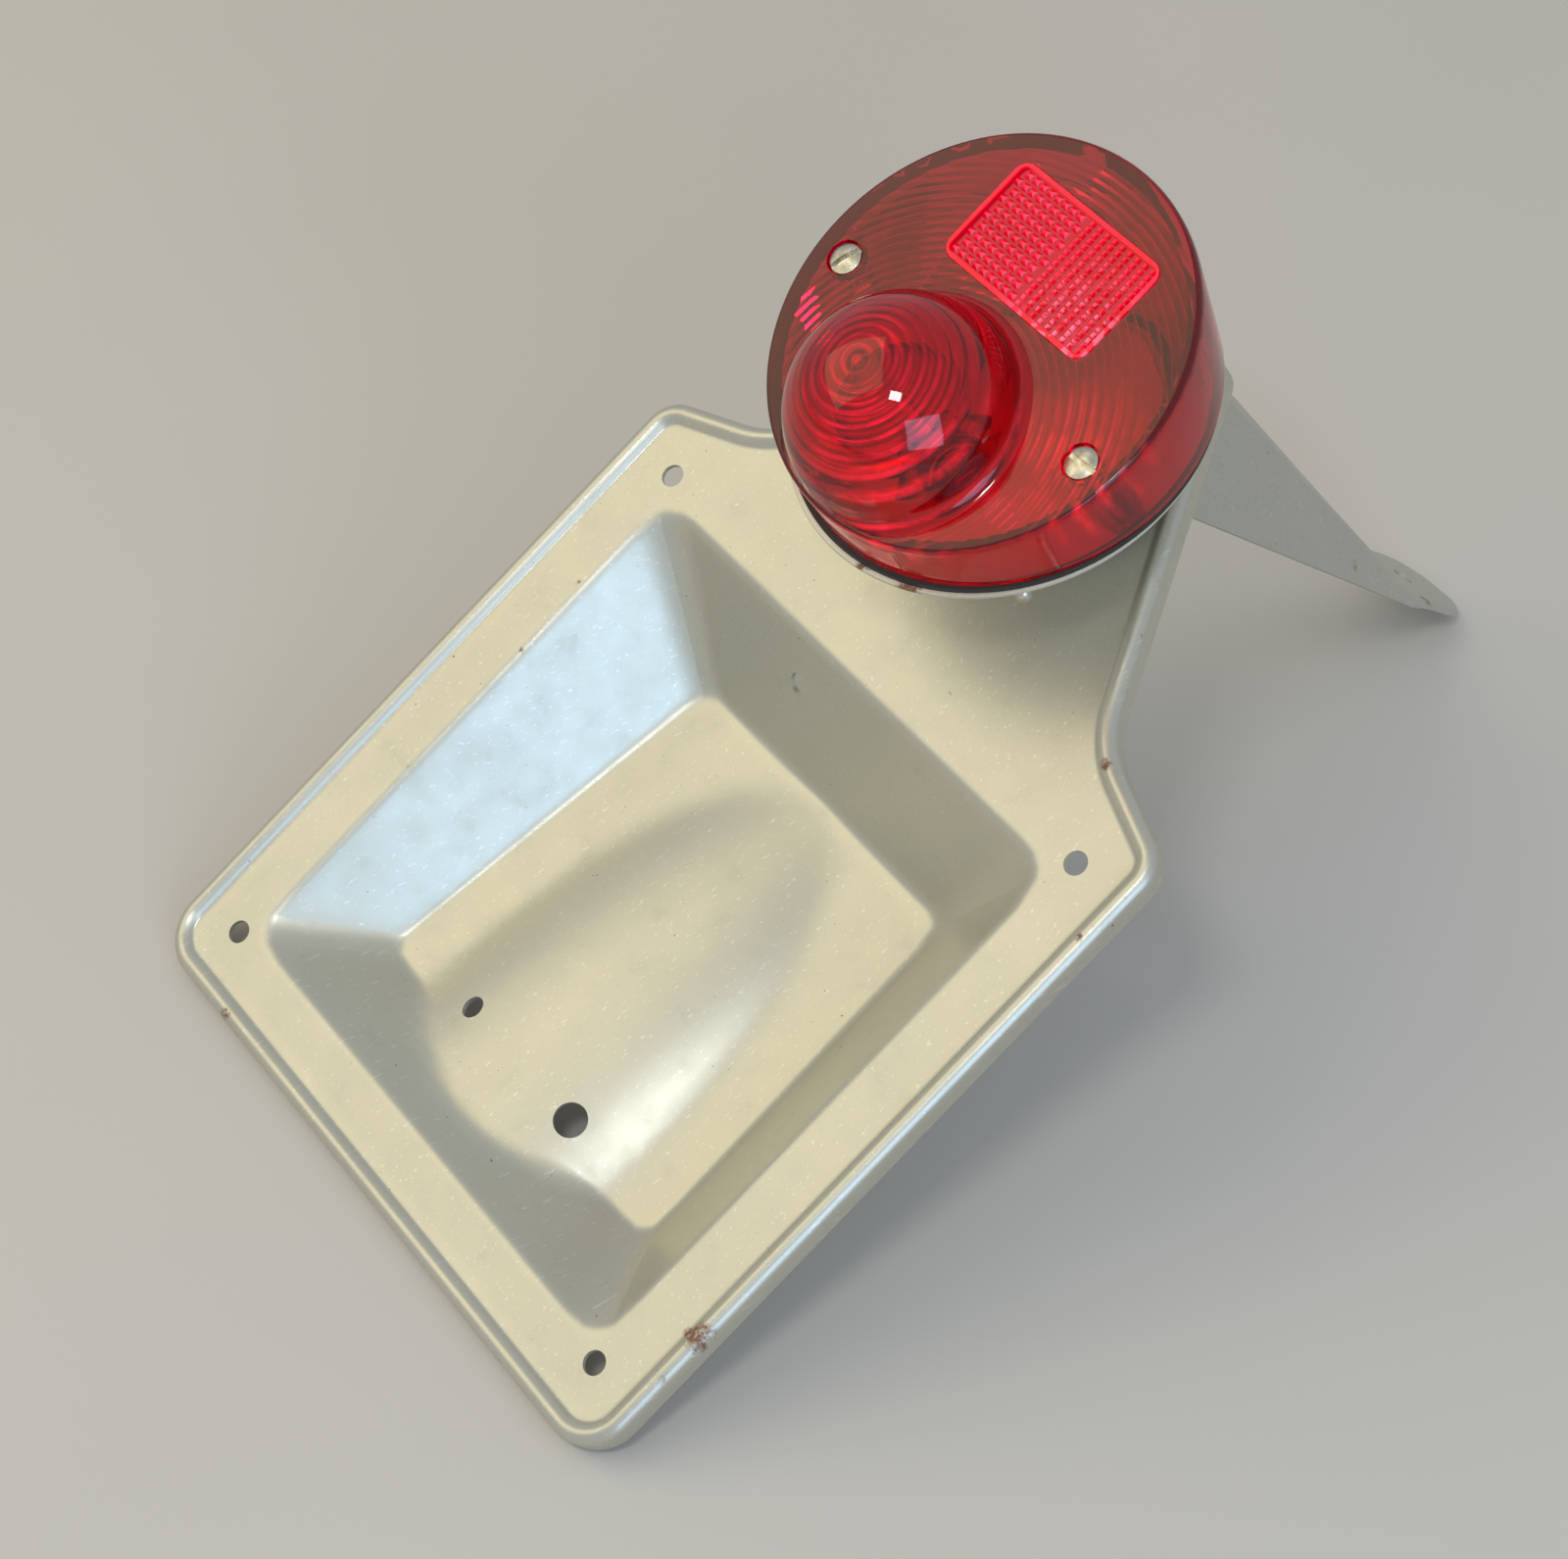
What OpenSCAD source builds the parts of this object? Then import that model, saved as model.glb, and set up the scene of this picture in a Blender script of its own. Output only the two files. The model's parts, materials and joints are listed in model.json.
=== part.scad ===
// Motorcycle tail light on its pressed number plate carrier, lying as it rests on a table.
// Every piece is drawn in the panel's own frame: X across, Y up the number plate towards the
// lamp, Z out of the plate, origin at the centre of the four plate holes. at_rest() then leans
// the whole assembly back until it stands on its lower edge and on the foot of its bracket.

/* [Panel] */
// Distance between the number plate's fixing holes, both ways
hole_pitch = 145; // [125:1:152]
// Diameter of the number plate's fixing holes
plate_hole_d = 5.5; // [4:0.5:7]
// Width of the panel over its rolled edge
panel_w = 177; // [170:1:190]
// Distance from the panel's centre down to its lower edge
panel_drop = 88.2; // [85:1:96]
// Height above the panel's centre where the side meets the shoulder
shoulder_y = 84.7; // [82:0.1:90]
// Half width where the shoulder meets the neck
waist_x = 58.9; // [52:0.1:64]
// Height where the shoulder meets the neck
waist_y = 95.5; // [92:0.1:100]
// Half width of the neck at its top edge
neck_top_x = 16.2; // [14.2:0.2:20]
// Height of the neck's top edge above the lens's centre
neck_rise = 35.7; // [34:0.1:40]
// Thickness of the pressed sheet
sheet_t = 1.2; // [0.8:0.1:1.5]
// Outer radius of the panel's lower corners
corner_r = 12; // [9:0.5:16]
// Width of the rolled bead round the edge
bead_w = 5.6; // [4.5:0.1:7]
// Height of the bead above the flat
bead_h = 1.8; // [1:0.1:2.5]
// How far the turned edge reaches behind the flat
flange_depth = 4.5; // [2:0.1:6]

/* [Recess] */
// Width of the recess at its rim
recess_w = 142; // [120:1:144]
// Height of the recess at its rim
recess_h = 141; // [120:1:142]
// Height of the recess's centre against the centre of the plate holes
recess_y = -1; // [-3:0.5:1]
// Corner radius of the recess rim
recess_r = 9; // [6:0.5:14]
// Depth of the recess floor at its lower edge
floor_low_depth = 18; // [12:0.5:22]
// Depth of the recess floor at its upper edge
floor_top_depth = 28.7; // [22:0.1:32]
// Width of the recess floor at its lower edge
floor_low_w = 99; // [90:1:104]
// Width of the recess floor at its upper edge
floor_top_w = 85.4; // [76:0.2:92]
// Height of the recess floor
floor_h = 91; // [80:1:96]
// Height of the floor's lower edge against the centre of the plate holes
floor_low_y = -49.5; // [-52:0.5:-46]

/* [Mudguard bulge] */
// Half width of the bulge at the foot of the recess
bulge_half_w = 36; // [28:0.5:40]
// Length of the bulge up the recess floor
bulge_len = 91; // [70:1:91]
// Height of the bulge above the recess floor
bulge_h = 8.5; // [5:0.5:11]
// Sideways distance of the two mudguard holes from the middle
guard_hole_x = 19.6; // [14:0.2:24]
// Height of the two mudguard holes
guard_hole_y = -45; // [-48:0.5:-38]
// Diameter of the larger mudguard hole
guard_bolt_d = 8; // [6:0.5:9]
// Diameter of the smaller mudguard hole
guard_pin_d = 5.5; // [4:0.5:7]
// Sideways place of the drain hole in the recess's upper wall
drain_x = -15.3; // [-24:0.1:24]

/* [Support bracket] */
// Thickness of the bracket's sheet
bracket_t = 1.5; // [1:0.1:2]
// How far the bracket's folded channel reaches behind the panel
channel_reach = 143; // [110:1:155]
// Length of the bracket's bent foot
foot_len = 28; // [24:1:36]
// Rise of the channel's top over its length
channel_rise = 11; // [4:0.5:14]
// Upward bend of the foot, in degrees
foot_bend = 17.5; // [8:0.5:22]
// Half width of the channel's top at the foot
foot_half_w = 12.5; // [10:0.5:15]
// Depth of the channel's side webs where they meet the neck
web_h = 29; // [20:1:34]
// Crown of the channel's top where it meets the neck
crown_h = 3.3; // [1:0.1:4]
// Diameter of the hole in the foot
foot_hole_d = 5.5; // [4:0.5:8]

/* [Lamp] */
// Height of the lens's centre above the centre of the plate holes
lamp_y = 136.3; // [130:0.1:142]
// Height of the lens's face above the panel
face_z = 53.2; // [50:0.1:58]
// Diameter of the lens's flat face
face_d = 94; // [90:0.5:98]
// Diameter of the joint between lens and housing
rim_d = 93; // [89:0.5:96]
// Height of the joint's centre above the panel
rim_z = 31; // [29:0.1:34]
// Distance of the joint's centre below the lens's centre
rim_drop = 4.3; // [2:0.1:6]
// Lean of the joint against the panel, in degrees
rim_tilt = 11; // [8:0.5:13]
// Wall of the lens
lens_wall = 2.4; // [1.8:0.1:3]
// Wall of the lamp housing
housing_wall = 1.4; // [1:0.1:2]
// Diameter of the housing's flat back
back_d = 54; // [50:1:60]
// Thickness of the rubber ring between lens and housing
rim_gasket_t = 1.4; // [1:0.1:2]
// Thickness of the rubber pad between housing and panel
pad_t = 1.5; // [1:0.1:3]

/* [Lens details] */
// Distance of the dome's centre below the lens's centre
dome_drop = 21.3; // [18:0.1:22]
// Radius of the dome
dome_r = 25.5; // [22:0.5:26]
// Number of optical steps inside the dome
dome_steps = 9; // [5:1:12]
// Width of the reflex reflector
reflex_w = 45; // [38:0.5:48]
// Height of the reflex reflector
reflex_h = 26; // [20:0.5:28]
// Distance of the reflex reflector's centre above the lens's centre
reflex_rise = 22; // [20:0.5:24]
// Corner radius of the reflex reflector
reflex_r = 3.5; // [2:0.5:5]
// Half distance between the two lens screws
screw_x = 39; // [36:0.5:40]
// Distance of the lens screws below the lens's centre
screw_drop = 5.3; // [2:0.1:8]
// Diameter of the lens screws' heads
screw_head_d = 7.2; // [6:0.1:8]
// Diameter of the lens screws' shanks
screw_d = 3.9; // [3:0.1:4.5]
// Half angle of the clear window under the lens, in degrees
window_half_angle = 24; // [15:1:30]
// Height of the clear window's lower edge above the joint
window_low = 2.5; // [2:0.1:4]
// Height of the clear window
window_h = 7.5; // [5:0.1:9]

/* [Bulb and socket] */
// Diameter of the bulb's glass
glass_d = 25; // [20:0.5:26]
// Diameter of the bulb's cap
cap_d = 15.2; // [14:0.1:16]
// Length of the bulb's cap
cap_h = 15; // [13:0.5:17]
// Height of the cap's lower end above the panel
cap_z = 20.8; // [20.6:0.1:22]
// Clearance round the bulb's cap in its socket
cap_gap = 0.15; // [0.1:0.05:0.25]
// Wall of the socket
socket_wall = 0.6; // [0.5:0.1:0.8]
// Travel of the bulb into its socket
push_travel = 2; // [1:0.5:2]
// Wire of the contact spring
spring_wire = 0.5; // [0.4:0.05:0.6]
// Turns of the contact spring
spring_turns = 3; // [2:0.5:3]

/* [Fixings] */
// Diameter of the two housing bolts
bolt_d = 6; // [5:0.5:6]
// Half distance between the housing bolts
bolt_x = 14; // [12:0.5:15]
// Height of the housing bolts above the lens's centre
bolt_rise = 4; // [2:0.5:8]
// Diameter of the cable's hole in the grommet
cable_d = 5; // [4:0.5:7]
// Height of the cable grommet above the lens's centre
grommet_rise = 18; // [16:0.5:19]
// Gap left between pieces that are seated on each other
seat_gap = 0.05; // [0.02:0.01:0.1]

/* [Hidden] */
$fn = 64;

// Edge of the panel. Each corner is [x, y, radius, points on its arc, points on the next side].
half_w = panel_w / 2;
shoulder_r = 9;
waist_r = 25;
neck_r = 6;
neck_top_y = lamp_y + neck_rise;
outline_corners = [
    [half_w, -panel_drop, corner_r, 6, 8],
    [half_w, shoulder_y, shoulder_r, 5, 1],
    [waist_x, waist_y, waist_r, 4, 6],
    [neck_top_x, neck_top_y, neck_r, 3, 2],
    [-neck_top_x, neck_top_y, neck_r, 3, 6],
    [-waist_x, waist_y, waist_r, 4, 1],
    [-half_w, shoulder_y, shoulder_r, 5, 8],
    [-half_w, -panel_drop, corner_r, 6, 8]];
neck_angle = atan2(waist_x - neck_top_x, neck_top_y - waist_y);

// Section of the rolled edge as [distance in from the edge, height], outside first.
bead_profile = [
    [0, -flange_depth], [0, -0.2 * bead_h], [0.09 * bead_w, 0.5 * bead_h],
    [0.28 * bead_w, 0.93 * bead_h], [0.5 * bead_w, bead_h], [0.72 * bead_w, 0.6 * bead_h],
    [0.88 * bead_w, 0.15 * bead_h], [1.03 * bead_w, 0]];
// Steps down the recess wall, and the share of the wall that each of its two bends takes.
wall_steps = [0, 0.06, 0.12, 0.5, 0.88, 0.94, 1];
wall_bend = 0.12;
// Rings of the recess floor, as shares of its size.
floor_steps = [0.82, 0.64, 0.46, 0.28, 0.1];
floor_mid_y = floor_low_y + floor_h / 2;
wall_cos = 0.74;
bulge_r = (pow(bulge_half_w, 2) + pow(bulge_h, 2)) / (2 * bulge_h);
bulge_blend = 1;

// Rest pose: the panel's lower edge and the end of the foot touch the table.
bracket_start = sheet_t + seat_gap;
neck_inset = sheet_t + 0.3 + crown_h;
foot_reach = channel_reach + foot_len;
foot_y = neck_top_y - neck_inset + channel_rise + foot_len * tan(foot_bend);
tip_z = foot_reach + bracket_start;
channel_x0 = neck_top_x + neck_inset * tan(neck_angle) - (sheet_t + 0.2) / cos(neck_angle);
round_start = foot_reach - 0.88 * foot_half_w;
foot_drop = foot_y - min([for (p = section(foot_reach)) p[1]]);
rest_tilt = atan2(tip_z - flange_depth, foot_y - foot_drop + panel_drop);
rest_lift = panel_drop * sin(rest_tilt) + flange_depth * cos(rest_tilt);
front_y = min([for (p = bead_profile) (p[0] - panel_drop) * cos(rest_tilt) - p[1] * sin(rest_tilt)]);
back_y = foot_y * cos(rest_tilt) + tip_z * sin(rest_tilt);
rest_shift = -(front_y + back_y) / 2;

// Lamp joint plane and stack.
rim_y = lamp_y - rim_drop;
rim_r = rim_d / 2;
face_r = face_d / 2;
pad_z = seat_gap;
back_z = pad_z + pad_t + seat_gap;
floor_z = back_z + housing_wall;
housing_top = -rim_gasket_t - 2 * seat_gap;
lip_t = 1.2;
lip_drop = 2.2;
bulb_y = lamp_y - dome_drop;
dome_wall = 2;
screw_y = lamp_y - screw_drop;
head_h = 2.2;
head_sink = 1.9;
washer_t = 0.5;
pillar_top = rim_z + 1;
pillar_r = 3.6;
boss_r = 4.6;
grommet_y = lamp_y + grommet_rise;
bolt_y = lamp_y + bolt_rise;
bolt_hole_d = bolt_d + 0.4;
grommet_hole_d = cable_d + 4;
back_plate_z = -bracket_start - bracket_t;
nut_h = 0.8 * bolt_d;
bolt_washer_t = 1.2;

// Socket stack, from the base disc up to the pins.
socket_in_r = cap_d / 2 + cap_gap;
socket_out_r = socket_in_r + socket_wall;
base_disc_t = 1.2;
contact_h = 1;
stud_h = 0.6;
plunger_t = 1.5;
plunger_z = cap_z - contact_h - seat_gap - stud_h - plunger_t;
spring_room = 4.25;
socket_z = plunger_z - push_travel - 2 * seat_gap - spring_room - base_disc_t;
spring_z0 = socket_z + base_disc_t + seat_gap;
spring_z1 = plunger_z - push_travel - seat_gap;
socket_top = cap_z + 0.66 * cap_h;
flange_z = cap_z + 1.8;
flange_t = 0.8;
flange_r = socket_out_r + 3.6;
strap_t = 1.2;
pin_r = 1;
pin_z = cap_z + 0.5 * cap_h;
glass_wall = 0.7;
glass_z = cap_z + cap_h + 0.55 * glass_d + 6.5;

module at_rest() {
    translate([0, rest_shift, rest_lift]) rotate([rest_tilt, 0, 0]) children();
}

// Moves children into the leaning plane where lens and housing meet.
module on_rim() {
    translate([0, rim_y, rim_z]) rotate([-rim_tilt, 0, 0]) children();
}

function left_of(v) = [-v[1], v[0]];
function unit(v) = v / norm(v);
function spin(v, a) = [v[0] * cos(a) - v[1] * sin(a), v[0] * sin(a) + v[1] * cos(a)];
function turn(e1, e2) = atan2(e1[0] * e2[1] - e1[1] * e2[0], e1 * e2);
function mix(a, b, t) = a + (b - a) * t;

// The panel's edge, drawn in by d all round, as one list of points.
function edge_dir(k) =
    let (n = len(outline_corners), a = outline_corners[k % n], b = outline_corners[(k + 1) % n])
    unit([b[0] - a[0], b[1] - a[1]]);
function edge_corner(k, d) =
    let (n = len(outline_corners), e1 = edge_dir(k + n - 1), e2 = edge_dir(k),
        n1 = left_of(e1), n2 = left_of(e2), c = outline_corners[k % n])
    [c[0], c[1]] + (n1 + n2) * d / (1 + n1 * n2);
function edge_arc(k, d) =
    let (n = len(outline_corners), e1 = edge_dir(k + n - 1), e2 = edge_dir(k),
        bend = turn(e1, e2), r = max(0.6, outline_corners[k % n][2] - sign(bend) * d),
        start = edge_corner(k, d) - e1 * r * tan(abs(bend) / 2),
        middle = start + left_of(e1) * r * sign(bend), steps = outline_corners[k % n][3])
    [for (i = [0 : steps - 1]) middle + spin(start - middle, bend * i / (steps - 1))];
function edge_points(d) = [
    for (k = [0 : len(outline_corners) - 1])
        let (arc = edge_arc(k, d), next = edge_arc(k + 1, d), more = outline_corners[k][4])
        each concat(arc, [for (i = [1 : more]) mix(arc[len(arc) - 1], next[0], i / (more + 1))])];

// Where a line from the recess's centre towards p crosses the recess rim.
function rim_cross(p) =
    let (d = unit([p[0], p[1] - recess_y]), hw = recess_w / 2, hh = recess_h / 2,
        s = min(hw / max(abs(d[0]), 0.0001), hh / max(abs(d[1]), 0.0001)), q = d * s,
        cc = [hw - recess_r, hh - recess_r], a = [abs(d[0]), abs(d[1])], b = a * cc,
        in_corner = abs(q[0]) > cc[0] && abs(q[1]) > cc[1],
        t = in_corner ? b + sqrt(max(0, b * b - cc * cc + recess_r * recess_r)) : s)
    [d[0] * t, d[1] * t + recess_y];
function floor_share(y) = (y - floor_low_y) / floor_h;
function floor_z_at(y) = -mix(floor_low_depth, floor_top_depth, floor_share(y));
function floor_point(p) =
    let (v = (p[1] - recess_y) / recess_h + 0.5, y = floor_low_y + floor_h * v)
    [p[0] / recess_w * mix(floor_low_w, floor_top_w, v), y];
function wall_depth(u) = u < wall_bend ? u * u / (2 * wall_bend * (1 - wall_bend))
    : u > 1 - wall_bend ? 1 - pow(1 - u, 2) / (2 * wall_bend * (1 - wall_bend))
    : (u - wall_bend / 2) / (1 - wall_bend);
function bulge_z(p) =
    let (v = max(0, (p[1] - floor_low_y) / bulge_len))
    floor_z_at(p[1]) + bulge_h * (1 - v * v) - (bulge_r - sqrt(bulge_r * bulge_r - p[0] * p[0]));
function soft_max(a, b) = (a + b + sqrt(pow(a - b, 2) + pow(bulge_blend, 2))) / 2;
function pressed(p, z) = [p[0], p[1], z > -0.01 ? z : soft_max(z, bulge_z(p))];

// Front face of the pressed sheet as rings from the turned edge in to the recess floor.
crease = edge_points(bead_profile[len(bead_profile) - 1][0]);
rim_ring = [for (p = crease) rim_cross(p)];
floor_ring = [for (p = rim_ring) floor_point(p)];
floor_centre = [0, floor_mid_y];
function bead_ring(profile) = [for (q = profile) [for (p = edge_points(q[0])) [p[0], p[1], q[1]]]];
function recess_rings() = concat(
    [for (u = wall_steps) [for (i = [0 : len(rim_ring) - 1])
        let (p = mix(rim_ring[i], floor_ring[i], u))
        pressed(p, floor_z_at(floor_ring[i][1]) * wall_depth(u))]],
    [for (s = floor_steps) [for (q = floor_ring)
        let (p = mix(floor_centre, q, s)) pressed(p, floor_z_at(p[1]))]]);

// The same rings behind the sheet, one sheet's thickness away.
function profile_normal(q, i) =
    let (a = q[max(0, i - 1)], b = q[min(len(q) - 1, i + 1)]) unit([b[1] - a[1], a[0] - b[0]]);
function inner_profile(q) = [for (i = [0 : len(q) - 1])
    i == 0 ? [q[0][0] + sheet_t, q[0][1]] : q[i] + profile_normal(q, i) * sheet_t];
function lowered(rings) = [for (k = [0 : len(rings) - 1])
    let (steep = k > 1 && k < len(wall_steps) - 2)
    [for (p = rings[k]) [p[0], p[1], p[2] - (steep ? sheet_t / wall_cos : sheet_t)]]];

module ring_solid(front, back, front_tip, back_tip) {
    n = len(front[0]);
    m = len(front);
    points = concat([for (r = front) each r], [for (r = back) each r], [front_tip, back_tip]);
    tip = 2 * n * m;
    faces = concat(
        [for (k = [0 : m - 2], i = [0 : n - 1]) let (j = (i + 1) % n)
            each [[k * n + i, (k + 1) * n + j, k * n + j], [k * n + i, (k + 1) * n + i, (k + 1) * n + j]]],
        [for (k = [0 : m - 2], i = [0 : n - 1]) let (j = (i + 1) % n, o = n * m)
            each [[o + k * n + i, o + k * n + j, o + (k + 1) * n + j],
                [o + k * n + i, o + (k + 1) * n + j, o + (k + 1) * n + i]]],
        [for (i = [0 : n - 1]) let (j = (i + 1) % n, o = n * m)
            each [[i, j, o + j], [i, o + j, o + i]]],
        [for (i = [0 : n - 1]) let (j = (i + 1) % n, k = m - 1)
            each [[k * n + i, tip, k * n + j], [n * m + k * n + i, n * m + k * n + j, tip + 1]]]);
    polyhedron(points, faces, convexity = 8);
}

module plate_carrier() {
    front = concat(bead_ring(bead_profile), recess_rings());
    back = concat(bead_ring(inner_profile(bead_profile)), lowered(recess_rings()));
    tip = pressed(floor_centre, floor_z_at(floor_mid_y));
    wall_angle = atan2(floor_top_depth, recess_y + recess_h / 2 - floor_low_y - floor_h);
    drain_u = 0.4;
    drain_y = mix(recess_y + recess_h / 2, floor_low_y + floor_h, drain_u);
    color("silver") at_rest() difference() {
        ring_solid(front, back, tip, tip - [0, 0, sheet_t]);
        for (x = [-1, 1], y = [-1, 1])
            translate([x * hole_pitch / 2, y * hole_pitch / 2, -5]) cylinder(h = 10, d = plate_hole_d);
        for (x = [-bolt_x, bolt_x]) translate([x, bolt_y, -5]) cylinder(h = 10, d = bolt_hole_d);
        translate([0, grommet_y, -5]) cylinder(h = 10, d = grommet_hole_d);
        guard_hole(guard_hole_x, guard_bolt_d);
        guard_hole(-guard_hole_x, guard_pin_d);
        translate([drain_x, drain_y, -floor_top_depth * wall_depth(drain_u)])
            rotate([wall_angle, 0, 0]) cylinder(h = 12, d = guard_pin_d, center = true);
    }
}

// Hole square to the sheet on the bulge's flank.
module guard_hole(x, d) {
    p = [x, guard_hole_y];
    e = 0.01;
    slope = [bulge_z(p + [e, 0]) - bulge_z(p), bulge_z(p + [0, e]) - bulge_z(p)] / e;
    translate([x, guard_hole_y, bulge_z(p)])
        rotate([0, atan(norm(slope)), atan2(-slope[1], -slope[0])])
            cylinder(h = 10, d = d, center = true);
}

// Half section of the bracket's channel, outer face, at a distance s behind the panel.
function channel_y(s) = neck_top_y - neck_inset
    + (s < channel_reach ? channel_rise * s / channel_reach
        : channel_rise + (s - channel_reach) * tan(foot_bend));
function channel_x(s) = s > round_start ? foot_half_w * sqrt(1 - pow((s - round_start) / foot_half_w, 2))
    : mix(channel_x0, foot_half_w, min(1, s / channel_reach));
function channel_web(s) = max(web_h * (1 - s / (channel_reach + foot_len / 2)), 1.1 * bracket_t);
function channel_crown(s) = crown_h * max(0, 1 - s / channel_reach);
function half_section(s) =
    let (x = channel_x(s), y = channel_y(s), w = [sin(neck_angle), -cos(neck_angle)], b = bracket_t)
    [[x, y] + w * channel_web(s), [x, y] + w * b, [x - 0.25 * b, y - 0.15 * b],
        [x - 1.2 * b, y + 0.12 * channel_crown(s)],
        [0.55 * x, y + 0.7 * channel_crown(s)], [0, y + channel_crown(s)]];
function mirror_back(h) = concat(h, [for (i = [len(h) - 2 : -1 : 0]) [-h[i][0], h[i][1]]]);
function path_normal(q, i) =
    let (a = q[max(0, i - 1)], b = q[min(len(q) - 1, i + 1)]) unit([b[1] - a[1], a[0] - b[0]]);
function section(s) =
    let (q = mirror_back(half_section(s)))
    concat(q, [for (i = [len(q) - 1 : -1 : 0]) q[i] - path_normal(q, i) * bracket_t]);

// Folded sheet through sections at the given distances behind the panel.
module channel(stations) {
    rings = [for (s = stations) [for (p = section(s)) [p[0], p[1], -bracket_start - s]]];
    n = len(rings[0]);
    m = len(rings);
    points = [for (r = rings) each r];
    end = (m - 1) * n;
    faces = concat(
        [for (i = [0 : n / 2 - 2]) let (a = i, b = i + 1, c = n - 2 - i, d = n - 1 - i)
            each [[a, c, b], [a, d, c], [end + a, end + b, end + c], [end + a, end + c, end + d]]],
        [for (k = [0 : m - 2], i = [0 : n - 1]) let (j = (i + 1) % n)
            each [[k * n + i, k * n + j, (k + 1) * n + j], [k * n + i, (k + 1) * n + j, (k + 1) * n + i]]]);
    polyhedron(points, faces, convexity = 8);
}

module support_bracket() {
    plate_low_y = bolt_y - 12;
    stations = concat([for (s = [0 : 15 : channel_reach - 10]) s], [channel_reach]);
    color("silver") at_rest() difference() {
        union() {
            channel(stations);
            translate([0, 0, back_plate_z]) linear_extrude(bracket_t) intersection() {
                polygon(edge_points(sheet_t + 0.4));
                translate([-waist_x, plate_low_y]) square([2 * waist_x, neck_top_y - neck_inset - plate_low_y]);
            }
        }
        for (x = [-bolt_x, bolt_x]) translate([x, bolt_y, -10]) cylinder(h = 20, d = bolt_hole_d);
        translate([0, grommet_y, -10]) cylinder(h = 20, d = grommet_hole_d + 1.5);
    }
}

// Round end of the bracket, bent up from the channel's top.
module bracket_foot() {
    hole_s = foot_reach - 0.65 * foot_len;
    stations = concat([channel_reach + seat_gap, mix(channel_reach, round_start, 0.5)],
        [for (t = [0, 0.3, 0.5, 0.68, 0.8, 0.88]) round_start + t * foot_half_w]);
    color("silver") at_rest() difference() {
        channel(stations);
        translate([0, channel_y(hole_s), -bracket_start - hole_s])
            rotate([foot_bend - 90, 0, 0]) cylinder(h = 12, d = foot_hole_d, center = true);
    }
}

// Rubber pad under the lamp, cut back along the bead where the neck narrows.
module base_pad() {
    flat_inset = bead_profile[len(bead_profile) - 1][0] + 2 * seat_gap;
    color("black") at_rest() translate([0, 0, pad_z]) difference() {
        intersection() {
            translate([0, lamp_y, 0]) cylinder(h = pad_t, d = back_d + 2);
            translate([0, 0, -1]) linear_extrude(pad_t + 2) polygon(edge_points(flat_inset));
        }
        for (x = [-bolt_x, bolt_x]) translate([x, bolt_y, -2]) cylinder(h = pad_t + 4, d = bolt_hole_d);
        translate([0, grommet_y, -2]) cylinder(h = pad_t + 4, d = grommet_hole_d);
    }
}

// Bowl between the flat back and the leaning joint, drawn in by d and carried past the joint.
module bowl(d, past) {
    hull() {
        translate([0, lamp_y, back_z + d]) cylinder(h = 0.2, r = back_d / 2 - 0.7 * d, $fn = 48);
        on_rim() translate([0, -0.6, housing_top - 0.4 + past])
            cylinder(h = 0.2, r = rim_r - 1.9 - d + 0.55 * past, $fn = 48);
    }
}

module lamp_housing() {
    color("beige") difference() {
        housing_shell();
        at_stud() cylinder(h = 8, r = stud_r, center = true);
    }
}

module housing_shell() {
    at_rest() difference() {
        union() {
            bowl(0, 0);
            on_rim() translate([0, -lip_drop / 2, housing_top - lip_t])
                cylinder(h = lip_t, r = rim_r + 0.1);
        }
        bowl(housing_wall, 3);
        for (x = [-bolt_x, bolt_x]) translate([x, bolt_y, 0]) cylinder(h = 10, d = bolt_hole_d);
        translate([0, grommet_y, 0]) cylinder(h = 10, d = grommet_hole_d);
        for (x = [-1, 1]) translate([x * rivet_x, foot_mid_y, 0]) cylinder(h = 10, r = rivet_r);
    }
}

module hex(h, across) {
    cylinder(h = h, d = across / cos(30), $fn = 6);
}

module housing_bolts() {
    shank_end = back_plate_z - bolt_washer_t - nut_h - 3;
    color("gainsboro") at_rest() for (x = [-bolt_x, bolt_x]) translate([x, bolt_y, 0]) {
        translate([0, 0, floor_z + seat_gap]) hex(0.6 * bolt_d, 1.6 * bolt_d);
        translate([0, 0, shank_end]) cylinder(h = floor_z + 0.5 - shank_end, d = bolt_d);
    }
}

module housing_washers() {
    color("gainsboro") at_rest() for (x = [-bolt_x, bolt_x])
        translate([x, bolt_y, back_plate_z - seat_gap - bolt_washer_t]) difference() {
            cylinder(h = bolt_washer_t, d = 1.8 * bolt_d);
            translate([0, 0, -1]) cylinder(h = 5, d = bolt_d + 0.3);
        }
}

module housing_nuts() {
    color("gainsboro") at_rest() for (x = [-bolt_x, bolt_x])
        translate([x, bolt_y, back_plate_z - 2 * seat_gap - bolt_washer_t - nut_h]) difference() {
            hex(nut_h, 1.65 * bolt_d);
            translate([0, 0, -1]) cylinder(h = nut_h + 2, d = bolt_d + 2 * seat_gap);
        }
}

module cable_grommet() {
    lip = 1.2;
    groove = 0.1;
    color("dimgray") at_rest() translate([0, grommet_y, 0]) difference() {
        union() {
            translate([0, 0, floor_z + seat_gap]) cylinder(h = 1.6, d = grommet_hole_d + 2 * lip);
            translate([0, 0, -sheet_t - 2]) cylinder(h = floor_z + sheet_t + 2.5, d = grommet_hole_d - 2 * groove);
        }
        translate([0, 0, -10]) cylinder(h = 20, d = cable_d);
    }
}

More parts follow.
